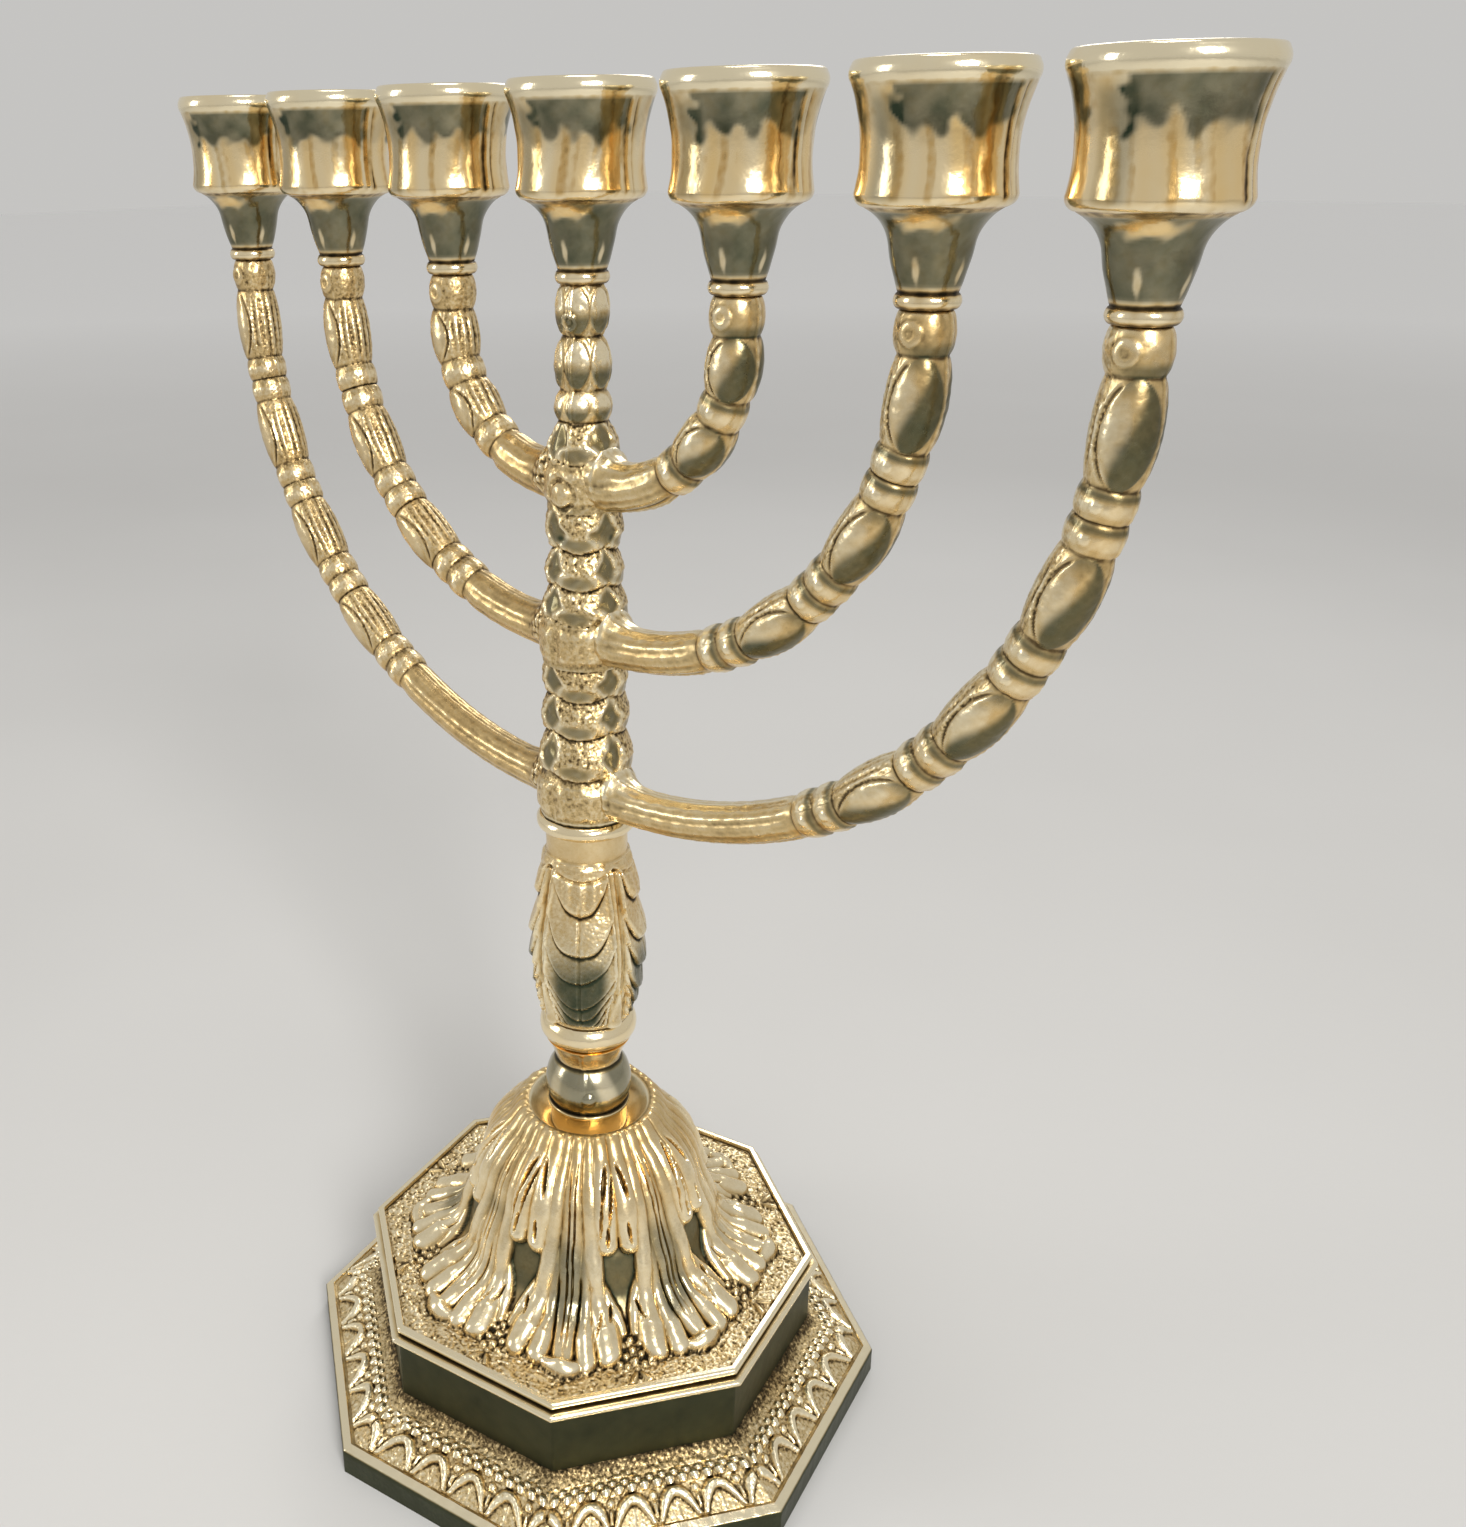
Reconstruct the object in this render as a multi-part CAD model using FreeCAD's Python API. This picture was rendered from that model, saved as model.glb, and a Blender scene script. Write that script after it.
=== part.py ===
import FreeCAD, Part
import math
import os

# A seven-branch candlestick in cast brass. Seven cups stand in one row, on three pairs of
# quarter arcs and a centre stem, over an eight-sided base in two tiers.
# Millimetres. +Z is up, X runs along the row of cups, and the origin is in the middle of
# the underside.

Vec = FreeCAD.Vector
ORIGIN = Vec(0, 0, 0)
UP = Vec(0, 0, 1)
ALONG = Vec(1, 0, 0)
ACROSS = Vec(0, 1, 0)
FULL_TURN = 360

# The whole candlestick

base_sides = 8
base_turn_deg = 12.2
seat_clearance = 0.05
thread_clearance = 0.05
pivot_clearance = 0.04
rod_clearance = 0.4
cut_overrun = 1.0

# The foot tier: widths are measured towards the corners of the octagon

foot_edge_height = 5.7
foot_lip_width = 2.1
foot_lip_rise = 0.5
foot_groove_width = 0.6
foot_tongue_width = 5.7
foot_tongue_rise = 3.4
foot_bead_width = 2.7
foot_bead_step = 0.7
foot_bead_rise = 0.7
foot_cove_width = 3.15
foot_cove_rise = 1.9
foot_wall = 2.9
foot_ledge_thickness = 2.2
foot_ledge_width = 12.0
foot_ledge_depth = 2.1

# The upper tier and the dome on it

riser_corner_radius = 47.6
riser_height = 15.9
riser_wall = 2.4
lip_overhang = 1.6
lip_height = 1.1
lip_groove_depth = 2.0
lip_groove_height = 0.8
ridge_inset = 1.3
ridge_height = 1.3
ridge_width = 1.7
plate_sink = 1.0
plate_thickness = 2.4
plate_margin = 4.7
dome_height = 35.9
dome_crown_radius = 12.7
dome_wall = 2.6
crown_dish_depth = 5.1
crown_thickness = 5.0
# Stations of the bell, from its foot to its crown: how far the radius has come in from the
# foot to the crown, and how far the height has risen from the plate to the crown.
dome_radius_shares = (0.0, 0.17, 0.31, 0.40, 0.44, 0.54, 0.62, 0.78, 0.92, 1.0)
dome_height_shares = (0.0, 0.045, 0.10, 0.19, 0.33, 0.52, 0.72, 0.89, 0.975, 1.0)

# The flutes of the dome

flute_count = 32
flute_depth = 0.7
flute_radius = 1.5
flute_start_share = 0.30
flute_end_share = 0.93
flute_steps = 7

# The leaves at the dome's foot, one to each corner of the octagon

leaf_start_share = 0.62
leaf_reach = 2.5
leaf_tip_lift = 1.2
# Thickness of a leaf along its length, from high on the bell to its rolled tip
leaf_thick_radius = 3.4
leaf_swell_shares = (0.25, 0.5, 0.62, 0.72, 0.8, 0.95)
leaf_tip_radius = 3.2

# The plain piece between the dome and the ring

neck_radius = 7.9
neck_length = 5.1
neck_ring_radius = 8.5
neck_ring_height = 1.0
bulb_radius = 8.8
bulb_length = 9.9
cove_radius = 6.7
cove_length = 5.3
cove_top_radius = 8.7
stem_spigot_radius = 6.0
spigot_short = 0.5

# The two rings

stem_ring_height = 6.0
stem_ring_radius = 9.9
collar_ring_height = 3.1
collar_ring_radius = 9.7

# The leaf baluster

baluster_foot_radius = 8.9
baluster_foot_length = 7.0
baluster_low_radius = 10.4
baluster_low_length = 8.5
baluster_belly_radius = 11.2
baluster_belly_length = 12.0
baluster_shoulder_radius = 9.6
baluster_shoulder_length = 7.7
baluster_top_radius = 8.3
collar_band_radius = 7.6
collar_band_height = 6.0
register_radius = 5.0
register_depth = 2.6

# The trunk, from the seam up to the middle cup: the length of each stretch, its radius at
# the widest place, and the radius of the waist above it

trunk_foot_radius = 8.4
root_rise = 4.4
outer_junction_radius = 8.9
outer_junction_length = 7.8
low_slope_length = 1.2
low_waist_radius = 8.1
low_lobe_radius = 8.6
low_lobe_length = 8.0
second_waist_radius = 7.2
second_lobe_radius = 8.0
second_lobe_length = 7.2
third_waist_radius = 7.0
third_lobe_radius = 7.7
third_lobe_length = 6.4
middle_junction_radius = 7.8
middle_junction_length = 8.4
fourth_lobe_radius = 7.2
fourth_lobe_length = 6.2
fourth_waist_radius = 6.3
fifth_lobe_radius = 6.7
fifth_lobe_length = 6.7
fifth_waist_radius = 5.7
sixth_lobe_radius = 6.6
sixth_lobe_length = 7.5
inner_junction_radius = 6.5
inner_junction_length = 8.2
top_lobe_radius = 5.7
top_lobe_length = 7.1
top_waist_radius = 4.2
small_bead_radius = 4.8
small_bead_length = 5.3
small_waist_radius = 3.9
long_bead_radius = 4.7
long_bead_length = 9.1
long_waist_radius = 3.5
tip_bead_radius = 4.4
tip_bead_length = 8.5
tip_radius = 3.6

# The branches: each spacing is from one cup's axis to the next, and a quarter arc joins the
# straight stretch at the root, measured from the stem's axis, to the one below the cup

inner_spacing = 33.0
middle_spacing = 33.0
outer_spacing = 30.6
inner_root_straight = 6.0
middle_root_straight = 8.0
outer_root_straight = 8.6
inner_tip_straight = 6.8
middle_tip_straight = 4.6
outer_tip_straight = 5.2
inner_root_radius = 4.0
middle_root_radius = 3.8
outer_root_radius = 3.7
branch_bead_length = 6.2
branch_bead_radius = 4.3
inner_almond_length = 9.4
middle_almond_length = 13.3
outer_almond_length = 14.2
almond_radius = 4.6
branch_ring_length = 4.6
branch_ring_radius = 4.2
branch_waist_radius = 3.5
inner_almonds = 2
middle_almonds = 3
outer_almonds = 4
inner_rings = 1
middle_rings = 2
outer_rings = 2
bead_fullness = 0.6
bead_steps = 6
root_taper_length = 5.0
root_steps = 12
tenon_radius = 2.4
tenon_length = 4.0
braze_gap = 0.05

# The candle cups: walls are measured from the candle bore, and lengths from the branch tip up

candle_radius = 9.5
cup_ring_height = 2.3
cup_ring_radius = 4.6
cup_neck_radius = 4.1
cup_funnel_length = 5.9
cup_funnel_radius = 6.3
cup_funnel_swell = 0.35
cup_under_length = 5.1
cup_bowl_wall = 1.4
cup_corner_radius = 1.6
cup_bowl_length = 8.5
cup_waist_wall = 0.95
cup_flare_length = 10.0
cup_rim_wall = 2.9
cup_lip_height = 2.2
lip_bevel = 1.5
lip_flare_height = 2.4
cup_floor = 2.2
cup_spigot_radius = 2.0
cup_spigot_length = 5.0

# The tie rod and its nut, and the screws under the foot

rod_radius = 3.0
rod_grip_in_trunk = 20.0
rod_below_nut = 2.4
washer_radius = 9.0
washer_thickness = 1.6
nut_across_flats = 10.0
nut_height = 5.0
nut_sides = 6
screw_count = 4
screw_radius = 1.5
screw_head_radius = 2.8
screw_head_height = 1.8
screw_grip = 7.0
post_radius = 3.2
post_clear_of_riser = 1.2
post_pin_radius = 1.8
post_pin_length = 1.2


# Small tools for the shapes below

def save(shape, name):
    """Write one piece to its own file."""
    shape.exportStep("parts/" + name + ".step")


def cylinder(radius, base, top):
    """An upright cylinder on the stem's axis."""
    return Part.makeCylinder(radius, top - base, Vec(0, 0, base))


def line(start, end):
    """A straight stretch of an outline; a point is a radius and a height."""
    return Part.LineSegment(Vec(start[0], 0, start[1]), Vec(end[0], 0, end[1])).toShape()


def bow(start, middle, end):
    """A round stretch of an outline through three points."""
    points = [Vec(p[0], 0, p[1]) for p in (start, middle, end)]
    return Part.Arc(*points).toShape()


def smooth(points):
    """A smooth stretch of an outline through all its points."""
    curve = Part.BSplineCurve()
    curve.interpolate([Vec(p[0], 0, p[1]) for p in points])
    return curve.toShape()


def turned(edges):
    """The solid that an outline sweeps about the stem's axis; its ends lie on the axis."""
    wire = Part.Wire(edges)
    return Part.Face(wire).revolve(ORIGIN, UP, FULL_TURN)


def corner_point(corner_radius, height, index):
    """One corner of the base's octagon."""
    turn = math.radians(base_turn_deg) + math.pi * (2 * index + 1) / base_sides
    return Vec(corner_radius * math.cos(turn), corner_radius * math.sin(turn), height)


def flat_face(points):
    """A flat face with these corners."""
    return Part.Face(Part.makePolygon(list(points) + [points[0]]))


def octagon_ring(outline):
    """A closed outline of corner radii and heights, taken round the octagon's eight sides."""
    faces = []
    count = len(outline)
    for side in range(base_sides):
        for step in range(count):
            low = outline[step]
            high = outline[(step + 1) % count]
            faces.append(flat_face([corner_point(low[0], low[1], side),
                                    corner_point(low[0], low[1], side + 1),
                                    corner_point(high[0], high[1], side + 1),
                                    corner_point(high[0], high[1], side)]))
    return as_solid(faces)


def octagon_block(corner_radius, base, top):
    """A plain eight-sided block."""
    corners = [corner_point(corner_radius, base, side) for side in range(base_sides)]
    return flat_face(corners).extrude(Vec(0, 0, top - base))


def as_solid(faces):
    """Sew faces into one solid with its inside on the right side."""
    solid = Part.makeSolid(Part.makeShell(faces))
    if solid.Volume < 0:
        solid.reverse()
    return solid


# The base

foot_cove_outer = riser_corner_radius + seat_clearance + foot_cove_width
foot_tongue_inner = foot_cove_outer + foot_bead_width
foot_tongue_outer = foot_tongue_inner + foot_tongue_width
foot_lip_inner = foot_tongue_outer + foot_groove_width
foot_corner_radius = foot_lip_inner + foot_lip_width
foot_tongue_top = foot_edge_height + foot_tongue_rise
foot_bead_top = foot_tongue_top + foot_bead_step + foot_bead_rise
foot_cove_top = foot_bead_top + foot_cove_rise
foot_ledge_height = foot_cove_top - foot_ledge_depth
riser_top = foot_ledge_height + riser_height
lip_top = riser_top + lip_height
ridge_base = lip_top + lip_groove_height
ridge_top = ridge_base + ridge_height
plate_height = ridge_top - plate_sink
lip_corner_radius = riser_corner_radius + lip_overhang
groove_corner_radius = lip_corner_radius - lip_groove_depth
ridge_corner_radius = lip_corner_radius - ridge_inset
plate_corner_radius = ridge_corner_radius - ridge_width
dome_foot_radius = plate_corner_radius * math.cos(math.pi / base_sides) - plate_margin
dome_crown_height = plate_height + dome_height
crown_floor_height = dome_crown_height - crown_dish_depth
ceiling_height = crown_floor_height - crown_thickness


def foot_tier():
    """The lower tier: a hollow octagon with a sloping top and a ledge that carries the riser."""
    seat_radius = riser_corner_radius + seat_clearance
    ledge_inner = seat_radius - foot_ledge_width
    ledge_base = foot_ledge_height - foot_ledge_thickness
    outline = [(foot_corner_radius, 0),
               (foot_corner_radius, foot_edge_height),
               (foot_lip_inner, foot_edge_height + foot_lip_rise),
               (foot_tongue_outer, foot_edge_height),
               (foot_tongue_inner, foot_tongue_top),
               (foot_tongue_inner, foot_tongue_top + foot_bead_step),
               (foot_cove_outer, foot_bead_top),
               ((foot_cove_outer + seat_radius) / 2, foot_bead_top + foot_cove_rise / 4),
               (seat_radius, foot_cove_top),
               (seat_radius, foot_ledge_height),
               (ledge_inner, foot_ledge_height),
               (ledge_inner, ledge_base),
               (foot_tongue_inner - foot_wall, ledge_base),
               (foot_tongue_outer - foot_wall / 2, foot_edge_height - foot_wall),
               (foot_corner_radius - foot_wall, 0)]
    body = octagon_ring(outline)
    for x, y in screw_places():
        hole = Part.makeCylinder(screw_radius + seat_clearance, foot_ledge_thickness + 2 * cut_overrun,
                                 Vec(x, y, ledge_base - cut_overrun))
        body = body.cut(hole)
    return body


def screw_places():
    """The screws stand inside every second corner of the riser."""
    radius = riser_corner_radius - riser_wall - post_clear_of_riser - post_radius
    places = []
    for index in range(screw_count):
        corner = corner_point(radius, 0, index * base_sides // screw_count)
        places.append((corner.x, corner.y))
    return places


def bell_points(narrowing):
    """Points down the bell's side, drawn in towards the axis by a wall."""
    points = []
    for inward, upward in zip(dome_radius_shares, dome_height_shares):
        radius = dome_foot_radius + (dome_crown_radius - dome_foot_radius) * inward
        height = plate_height + (dome_crown_height - plate_height) * upward
        points.append((radius - narrowing, height))
    return points


def bell():
    """The dome's outside with its dished crown."""
    side = bell_points(0)
    dish_edge = (dome_crown_radius + neck_radius) / 2
    top = side[-1]
    dish = (dish_edge, dome_crown_height - crown_dish_depth / 2)
    floor = (neck_radius, crown_floor_height)
    return turned([line((0, plate_height), side[0]),
                   smooth(side),
                   line(top, dish),
                   line(dish, floor),
                   line(floor, (0, crown_floor_height)),
                   line((0, crown_floor_height), (0, plate_height))])


def bell_hollow():
    """The hollow under the dome, open below, with a flat ceiling for the washer."""
    rows = bell_points(dome_wall)[1:]
    wall_side = [point for point in rows if point[1] < ceiling_height]
    top_radius = rows[len(wall_side)][0]
    wall_side.append((top_radius, ceiling_height))
    base = foot_ledge_height - cut_overrun
    start = (wall_side[0][0], base)
    return turned([line((0, base), start),
                   line(start, wall_side[0]),
                   smooth(wall_side),
                   line(wall_side[-1], (0, ceiling_height)),
                   line((0, ceiling_height), (0, base))])


def flute(turn_deg):
    """One groove down the dome's side, cut by a round bar that follows the bell."""
    points = bell_points(flute_depth - flute_radius)
    first = flute_start_share * (len(points) - 1)
    last = flute_end_share * (len(points) - 1)
    curve = Part.BSplineCurve()
    curve.interpolate([Vec(p[0], 0, p[1]) for p in points])
    low = curve.FirstParameter
    span = curve.LastParameter - low
    rings = []
    for step in range(flute_steps):
        share = (first + (last - first) * step / (flute_steps - 1)) / (len(points) - 1)
        place = low + span * share
        ring = Part.Circle(curve.value(place), curve.tangent(place)[0], flute_radius)
        ring.XAxis = ACROSS
        rings.append(Part.Wire(ring.toShape()))
    bar = Part.makeLoft(rings, True, True)
    return bar.rotate(ORIGIN, UP, turn_deg)


def foot_leaf(index):
    """One leaf: a rib that runs down the bell, out over the plate and ends in a rolled tip."""
    side = bell_points(0)
    curve = Part.BSplineCurve()
    curve.interpolate([Vec(p[0], 0, p[1]) for p in reversed(side)])
    low = curve.FirstParameter
    span = curve.LastParameter - low
    rings = []
    for step, swell in enumerate(leaf_swell_shares):
        share = 1 - leaf_start_share * (1 - step / (len(leaf_swell_shares) - 1))
        place = low + span * share
        ring = Part.Circle(curve.value(place), curve.tangent(place)[0], leaf_thick_radius * swell)
        ring.XAxis = ACROSS
        rings.append(Part.Wire(ring.toShape()))
    rib = Part.makeLoft(rings, True, True)
    tip_centre = Vec(dome_foot_radius + leaf_reach, 0, plate_height + leaf_tip_lift)
    tip = Part.makeSphere(leaf_tip_radius, tip_centre)
    turn = base_turn_deg + FULL_TURN * (2 * index + 1) / (2 * base_sides)
    return rib.fuse(tip).rotate(ORIGIN, UP, turn)


def base_dome():
    """The upper tier: riser, two-lip edge, plate and dome, cast in one."""
    edge = octagon_block(riser_corner_radius, foot_ledge_height, riser_top)
    edge = edge.fuse(octagon_block(lip_corner_radius, riser_top, lip_top))
    edge = edge.fuse(octagon_block(groove_corner_radius, lip_top, ridge_base))
    edge = edge.fuse(octagon_block(ridge_corner_radius, ridge_base, ridge_top))
    sunk = octagon_block(plate_corner_radius, plate_height, ridge_top + cut_overrun)
    hollow = octagon_block(riser_corner_radius - riser_wall, foot_ledge_height - cut_overrun,
                           plate_height - plate_thickness)
    leaves = [foot_leaf(index) for index in range(base_sides)]
    flute_turn = FULL_TURN / flute_count
    grooves = [flute(base_turn_deg + flute_turn * (index + 1 / 2)) for index in range(flute_count)]
    bore = cylinder(stem_spigot_radius + seat_clearance, ceiling_height - cut_overrun,
                    crown_floor_height + cut_overrun)
    sockets = []
    for x, y in screw_places():
        start = Vec(x, y, plate_height - plate_thickness - cut_overrun)
        depth = post_pin_length + spigot_short + cut_overrun
        sockets.append(Part.makeCylinder(post_pin_radius + seat_clearance, depth, start))
    body = edge.cut(sunk).cut(hollow).multiFuse([bell()] + leaves)
    body = body.cut([bell_hollow(), bore] + grooves + sockets)
    return body.removeSplitter()


def screw_posts():
    """Four posts that stand on the ledge, pinned into the plate above and drilled for the screws."""
    height = plate_height - plate_thickness - foot_ledge_height
    posts = []
    for x, y in screw_places():
        start = Vec(x, y, foot_ledge_height)
        post = Part.makeCylinder(post_radius, height, start)
        pin = Part.makeCylinder(post_pin_radius, height + post_pin_length, start)
        hole = Part.makeCylinder(screw_radius + thread_clearance, screw_grip + cut_overrun, start)
        posts.append(post.fuse(pin).cut(hole).removeSplitter())
    return Part.makeCompound(posts)


def base_screws():
    """Four pan-head screws up through the ledge into the posts under the plate."""
    ledge_base = foot_ledge_height - foot_ledge_thickness
    screws = []
    for x, y in screw_places():
        shank = Part.makeCylinder(screw_radius, foot_ledge_thickness + screw_grip, Vec(x, y, ledge_base))
        head_base = Vec(x, y, ledge_base - screw_head_height)
        head = Part.makeCylinder(screw_head_radius, screw_head_height, head_base)
        slot = Part.makeBox(2 * screw_head_radius, screw_radius / 2, screw_head_height / 2,
                            Vec(x - screw_head_radius, y - screw_radius / 4, ledge_base - screw_head_height))
        screws.append(shank.fuse(head).cut(slot).removeSplitter())
    return Part.makeCompound(screws)


# The stem of the stand

neck_ring_base = crown_floor_height + neck_length
bulb_base = neck_ring_base + neck_ring_height
cove_height = bulb_base + bulb_length
stem_ring_base = cove_height + cove_length
stem_ring_top = stem_ring_base + stem_ring_height
baluster_low_height = stem_ring_top + baluster_foot_length
baluster_belly_height = baluster_low_height + baluster_low_length
baluster_shoulder_height = baluster_belly_height + baluster_belly_length
collar_band_base = baluster_shoulder_height + baluster_shoulder_length
collar_base = collar_band_base + collar_band_height
seam_height = collar_base + collar_ring_height
rod_bore_radius = rod_radius + rod_clearance


def rod_bore(base, top):
    """The clear hole for the tie rod."""
    return cylinder(rod_bore_radius, base - cut_overrun, top + cut_overrun)


def stem_bulb():
    """The plain turned piece: spigot, neck, thin ring, bulb and cove."""
    spigot_base = ceiling_height + spigot_short
    flare_mid = ((cove_radius + cove_top_radius) / 2, (cove_height + 2 * stem_ring_base) / 3)
    body = turned([line((0, spigot_base), (stem_spigot_radius, spigot_base)),
                   line((stem_spigot_radius, spigot_base), (stem_spigot_radius, crown_floor_height)),
                   line((stem_spigot_radius, crown_floor_height), (neck_radius, crown_floor_height)),
                   line((neck_radius, crown_floor_height), (neck_radius, neck_ring_base)),
                   bow((neck_radius, neck_ring_base),
                       (neck_ring_radius, neck_ring_base + neck_ring_height / 2), (neck_radius, bulb_base)),
                   bow((neck_radius, bulb_base), (bulb_radius, bulb_base + bulb_length / 2),
                       (cove_radius, cove_height)),
                   bow((cove_radius, cove_height), flare_mid, (cove_top_radius, stem_ring_base)),
                   line((cove_top_radius, stem_ring_base), (0, stem_ring_base)),
                   line((0, stem_ring_base), (0, spigot_base))])
    recess = cylinder(register_radius + seat_clearance, stem_ring_base - register_depth - spigot_short,
                      stem_ring_base + cut_overrun)
    return body.cut(recess).cut(rod_bore(spigot_base, stem_ring_base))


def round_ring(base, height, radius, bore_radius):
    """A ring with a fully rounded outside."""
    side = radius - height / 3
    top = base + height
    body = turned([line((0, base), (side, base)),
                   bow((side, base), (radius, base + height / 2), (side, top)),
                   line((side, top), (0, top)),
                   line((0, top), (0, base))])
    return body.cut(cylinder(bore_radius, base - cut_overrun, top + cut_overrun))


def stem_ring():
    """The ring between the bulb and the leaves."""
    return round_ring(stem_ring_base, stem_ring_height, stem_ring_radius, register_radius + seat_clearance)


def collar_ring():
    """The ring that the upper unit turns on; its bore guides the trunk's pilot."""
    return round_ring(collar_base, collar_ring_height, collar_ring_radius, register_radius + pivot_clearance)


def leaf_baluster():
    """The swelling piece, with a register below and a recess for the pilot above."""
    spigot_base = stem_ring_base - register_depth
    body = turned([line((0, spigot_base), (register_radius, spigot_base)),
                   line((register_radius, spigot_base), (register_radius, stem_ring_top)),
                   line((register_radius, stem_ring_top), (baluster_foot_radius, stem_ring_top)),
                   smooth([(baluster_foot_radius, stem_ring_top),
                           (baluster_low_radius, baluster_low_height),
                           (baluster_belly_radius, baluster_belly_height),
                           (baluster_shoulder_radius, baluster_shoulder_height),
                           (baluster_top_radius, collar_band_base)]),
                   line((baluster_top_radius, collar_band_base), (collar_band_radius, collar_band_base)),
                   line((collar_band_radius, collar_band_base), (collar_band_radius, collar_base)),
                   line((collar_band_radius, collar_base), (0, collar_base)),
                   line((0, collar_base), (0, spigot_base))])
    recess = cylinder(register_radius + pivot_clearance, collar_base - register_depth - spigot_short,
                      collar_base + cut_overrun)
    return body.cut(recess).cut(rod_bore(spigot_base, collar_base))


# The upper unit

outer_junction_top = seam_height + outer_junction_length
low_waist_height = outer_junction_top + low_slope_length
second_waist_height = low_waist_height + low_lobe_length
third_waist_height = second_waist_height + second_lobe_length
middle_junction_base = third_waist_height + third_lobe_length
middle_junction_top = middle_junction_base + middle_junction_length
fourth_waist_height = middle_junction_top + fourth_lobe_length
fifth_waist_height = fourth_waist_height + fifth_lobe_length
inner_junction_base = fifth_waist_height + sixth_lobe_length
inner_junction_top = inner_junction_base + inner_junction_length
top_waist_height = inner_junction_top + top_lobe_length
small_waist_height = top_waist_height + small_bead_length
long_waist_height = small_waist_height + long_bead_length
tip_height = long_waist_height + tip_bead_length
outer_root_height = seam_height + root_rise
middle_root_height = middle_junction_base + root_rise
inner_root_height = inner_junction_base + root_rise
inner_reach = inner_spacing
middle_reach = inner_reach + middle_spacing
outer_reach = middle_reach + outer_spacing


def lobe(low_radius, base, widest_radius, top_radius, top):
    """A round stretch of the trunk between two waists, widest half way up."""
    return bow((low_radius, base), (widest_radius, (base + top) / 2), (top_radius, top))


def trunk():
    """The centre stem from the seam to the middle cup, with a lobe or bead between each pair of waists."""
    pilot_base = collar_base - register_depth
    foot = (trunk_foot_radius, seam_height)
    outer_low = (outer_junction_radius, outer_root_height - outer_root_radius)
    outer_high = (outer_junction_radius, outer_junction_top)
    middle_low = (middle_junction_radius, middle_junction_base)
    middle_high = (middle_junction_radius, middle_junction_top)
    inner_low = (inner_junction_radius, inner_junction_base)
    inner_high = (inner_junction_radius, inner_junction_top)
    body = turned([line((0, pilot_base), (register_radius, pilot_base)),
                   line((register_radius, pilot_base), (register_radius, seam_height)),
                   line((register_radius, seam_height), foot),
                   line(foot, outer_low),
                   line(outer_low, outer_high),
                   line(outer_high, (low_waist_radius, low_waist_height)),
                   lobe(low_waist_radius, low_waist_height, low_lobe_radius,
                        second_waist_radius, second_waist_height),
                   lobe(second_waist_radius, second_waist_height, second_lobe_radius,
                        third_waist_radius, third_waist_height),
                   lobe(third_waist_radius, third_waist_height, third_lobe_radius,
                        middle_junction_radius, middle_junction_base),
                   line(middle_low, middle_high),
                   lobe(middle_junction_radius, middle_junction_top, fourth_lobe_radius,
                        fourth_waist_radius, fourth_waist_height),
                   lobe(fourth_waist_radius, fourth_waist_height, fifth_lobe_radius,
                        fifth_waist_radius, fifth_waist_height),
                   lobe(fifth_waist_radius, fifth_waist_height, sixth_lobe_radius,
                        inner_junction_radius, inner_junction_base),
                   line(inner_low, inner_high),
                   lobe(inner_junction_radius, inner_junction_top, top_lobe_radius,
                        top_waist_radius, top_waist_height),
                   lobe(top_waist_radius, top_waist_height, small_bead_radius,
                        small_waist_radius, small_waist_height),
                   lobe(small_waist_radius, small_waist_height, long_bead_radius,
                        long_waist_radius, long_waist_height),
                   lobe(long_waist_radius, long_waist_height, tip_bead_radius, tip_radius, tip_height),
                   line((tip_radius, tip_height), (0, tip_height)),
                   line((0, tip_height), (0, pilot_base))])
    thread = cylinder(rod_radius + thread_clearance, pilot_base - cut_overrun,
                      seam_height + rod_grip_in_trunk + cut_overrun)
    body = body.cut(thread).cut(tip_socket(0))
    roots = ((outer_root_height, outer_junction_radius), (middle_root_height, middle_junction_radius),
             (inner_root_height, inner_junction_radius))
    for height, radius in roots:
        for side in (ALONG, -ALONG):
            start = side * (radius - tenon_length - spigot_short) + Vec(0, 0, height)
            depth = tenon_length + spigot_short
            socket = Part.makeCylinder(tenon_radius + seat_clearance, depth + cut_overrun, start, side)
            body = body.cut(socket)
    return body


def tip_socket(reach):
    """The hole in a branch tip for the cup's spigot."""
    depth = cup_spigot_length + spigot_short
    return Part.makeCylinder(cup_spigot_radius + seat_clearance, depth + cut_overrun,
                             Vec(reach, 0, tip_height - depth))


def bead_profile(start, length, radius):
    """Places and radii along one bead, from waist to waist."""
    stations = []
    for step in range(bead_steps):
        share = step / bead_steps
        swell = (radius - branch_waist_radius) * math.sin(math.pi * share) ** bead_fullness
        stations.append((start + length * share, branch_waist_radius + swell))
    return stations


def branch_stations(almonds, rings, almond_length, root_radius, whole_length):
    """Places along one branch from its tip to the stem's axis, each with its radius."""
    stations = [(0, tip_radius)] + bead_profile(0, branch_bead_length, branch_bead_radius)[1:]
    place = branch_bead_length
    for almond in range(almonds):
        stations += bead_profile(place, almond_length, almond_radius)
        place += almond_length
        for ring in range(rings):
            stations += bead_profile(place, branch_ring_length, branch_ring_radius)
            place += branch_ring_length
    stations.append((place, branch_waist_radius))
    rest = whole_length - place
    taper = min(root_taper_length, rest / 2)
    for step in range(root_steps):
        share = step / (root_steps - 1)
        stations.append((place + taper + (rest - taper) * share, root_radius))
    return stations


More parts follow.
